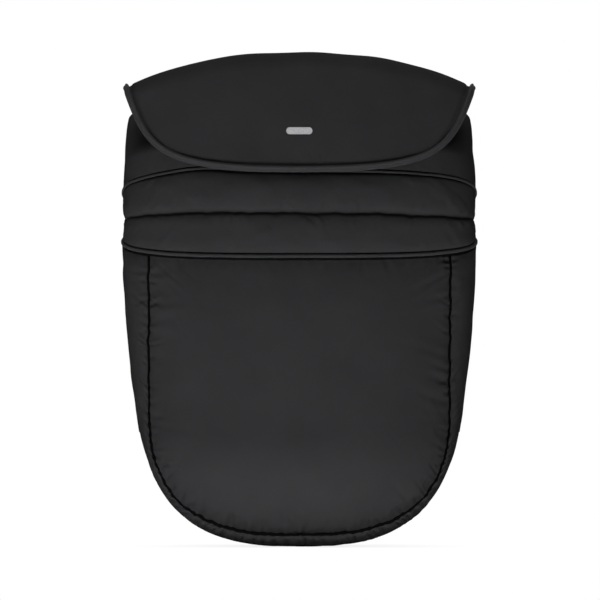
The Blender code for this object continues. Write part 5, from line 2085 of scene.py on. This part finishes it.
class Studio:
    """Pale floor, soft lamps and the camera of the photograph."""

    pixel = 0.00115
    image = 600
    lens = 700.0
    sensor = 36.0
    middle_x = 0.00075
    middle_down = 0.28451
    floor_size = 60.0
    floor_gap = 0.0006
    floor_white = (0.85, 0.85, 0.85, 1.0)
    white_slope = 1.2
    white_start = 0.75
    surroundings = 0.12
    lamps = (
        Lamp("fill", (-1.0, -2.3, 0.1), (1.0, 1.0), 3.2),
        Lamp("top", (0.0, -0.2, 2.0), (2.0, 1.2), 40.0),
        Lamp("back", (-0.2, 2.6, 0.6), (2.0, 1.6), 3.0),
        Lamp("floor_light", (-0.2, -0.57, -0.42), (1.1, 0.72), 16.6, (-0.2, -0.57, -0.6)),
    )

    def build(self) -> None:
        """Set up camera, lamps, floor and world."""
        bpy.context.scene.view_settings.view_transform = "Standard"
        self.camera()
        self.floor()
        self.world()
        for lamp in self.lamps:
            lamp.build()

    def camera(self) -> None:
        """Long lens level with the middle of the photograph."""
        data = bpy.data.cameras.new("camera")
        data.lens = self.lens
        data.sensor_width = self.sensor
        distance = self.lens * self.image * self.pixel / self.sensor
        data.clip_end = 5 * distance
        item = added("camera", data)
        item.location = (self.middle_x, -distance, COVER.below(self.middle_down))
        item.rotation_euler = (math.pi / 2, 0.0, 0.0)
        bpy.context.scene.camera = item

    def floor(self) -> None:
        """Pale floor just under the cover, white to the camera away from the cover's shadow."""
        deselect()
        low = float(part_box("gusset_shell")[0].z)
        bpy.ops.mesh.primitive_plane_add(size=self.floor_size)
        item = bpy.context.object
        item.name = "floor"
        item.data.transform(Matrix.Translation((0.0, 0.0, low - self.floor_gap)))
        graph = Graph.named("floor")
        graph.surface(Base_Color=self.floor_white, Roughness=1.0, Specular_IOR_Level=0.0)
        along, across, _ = graph.parts(graph.body())
        away = (along * along + across * across) ** 0.5
        share = (away * self.white_slope + self.white_start).clamped()
        white = graph.node("Emission", Color=(1.0, 1.0, 1.0, 1.0), Strength=1.0)
        graph.blended(graph.shader.outputs[0], white.outputs[0], graph.seen() * share,
                      "Material Output")
        item.data.materials.append(graph.owner)

    def world(self) -> None:
        """Even pale surroundings, white to the camera."""
        world = bpy.data.worlds.new("surroundings")
        bpy.context.scene.world = world
        graph = Graph(world)
        even, white = (graph.node("Background", Color=(1.0, 1.0, 1.0, 1.0),
                                  Strength=strength) for strength in (self.surroundings, 1.0))
        graph.blended(even.outputs[0], white.outputs[0], graph.seen(), "World Output")


def main() -> None:
    """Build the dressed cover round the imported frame."""
    logging.basicConfig(level=logging.INFO, format="%(message)s")
    for item in list(bpy.data.objects):
        bpy.data.objects.remove(item, do_unlink=True)
    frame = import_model()
    finishes = Finishes()
    flap = Flap()
    upper = UpperBody()
    pocket = FootPocket()
    pump = Pump()
    for panel in (flap.panel, upper.panel, upper.band, pocket.front, pocket.gusset):
        panel.pump(pump)
    pump.run()
    flap.build(pump, finishes)
    upper.build(pump, finishes)
    pocket.build(pump, finishes, upper)
    flap_studs(finishes)
    for side in (-1, 1):
        SideStrap(side, frame["joints"]).build(finishes)
    Studio().build()


if __name__ == "__main__":
    main()
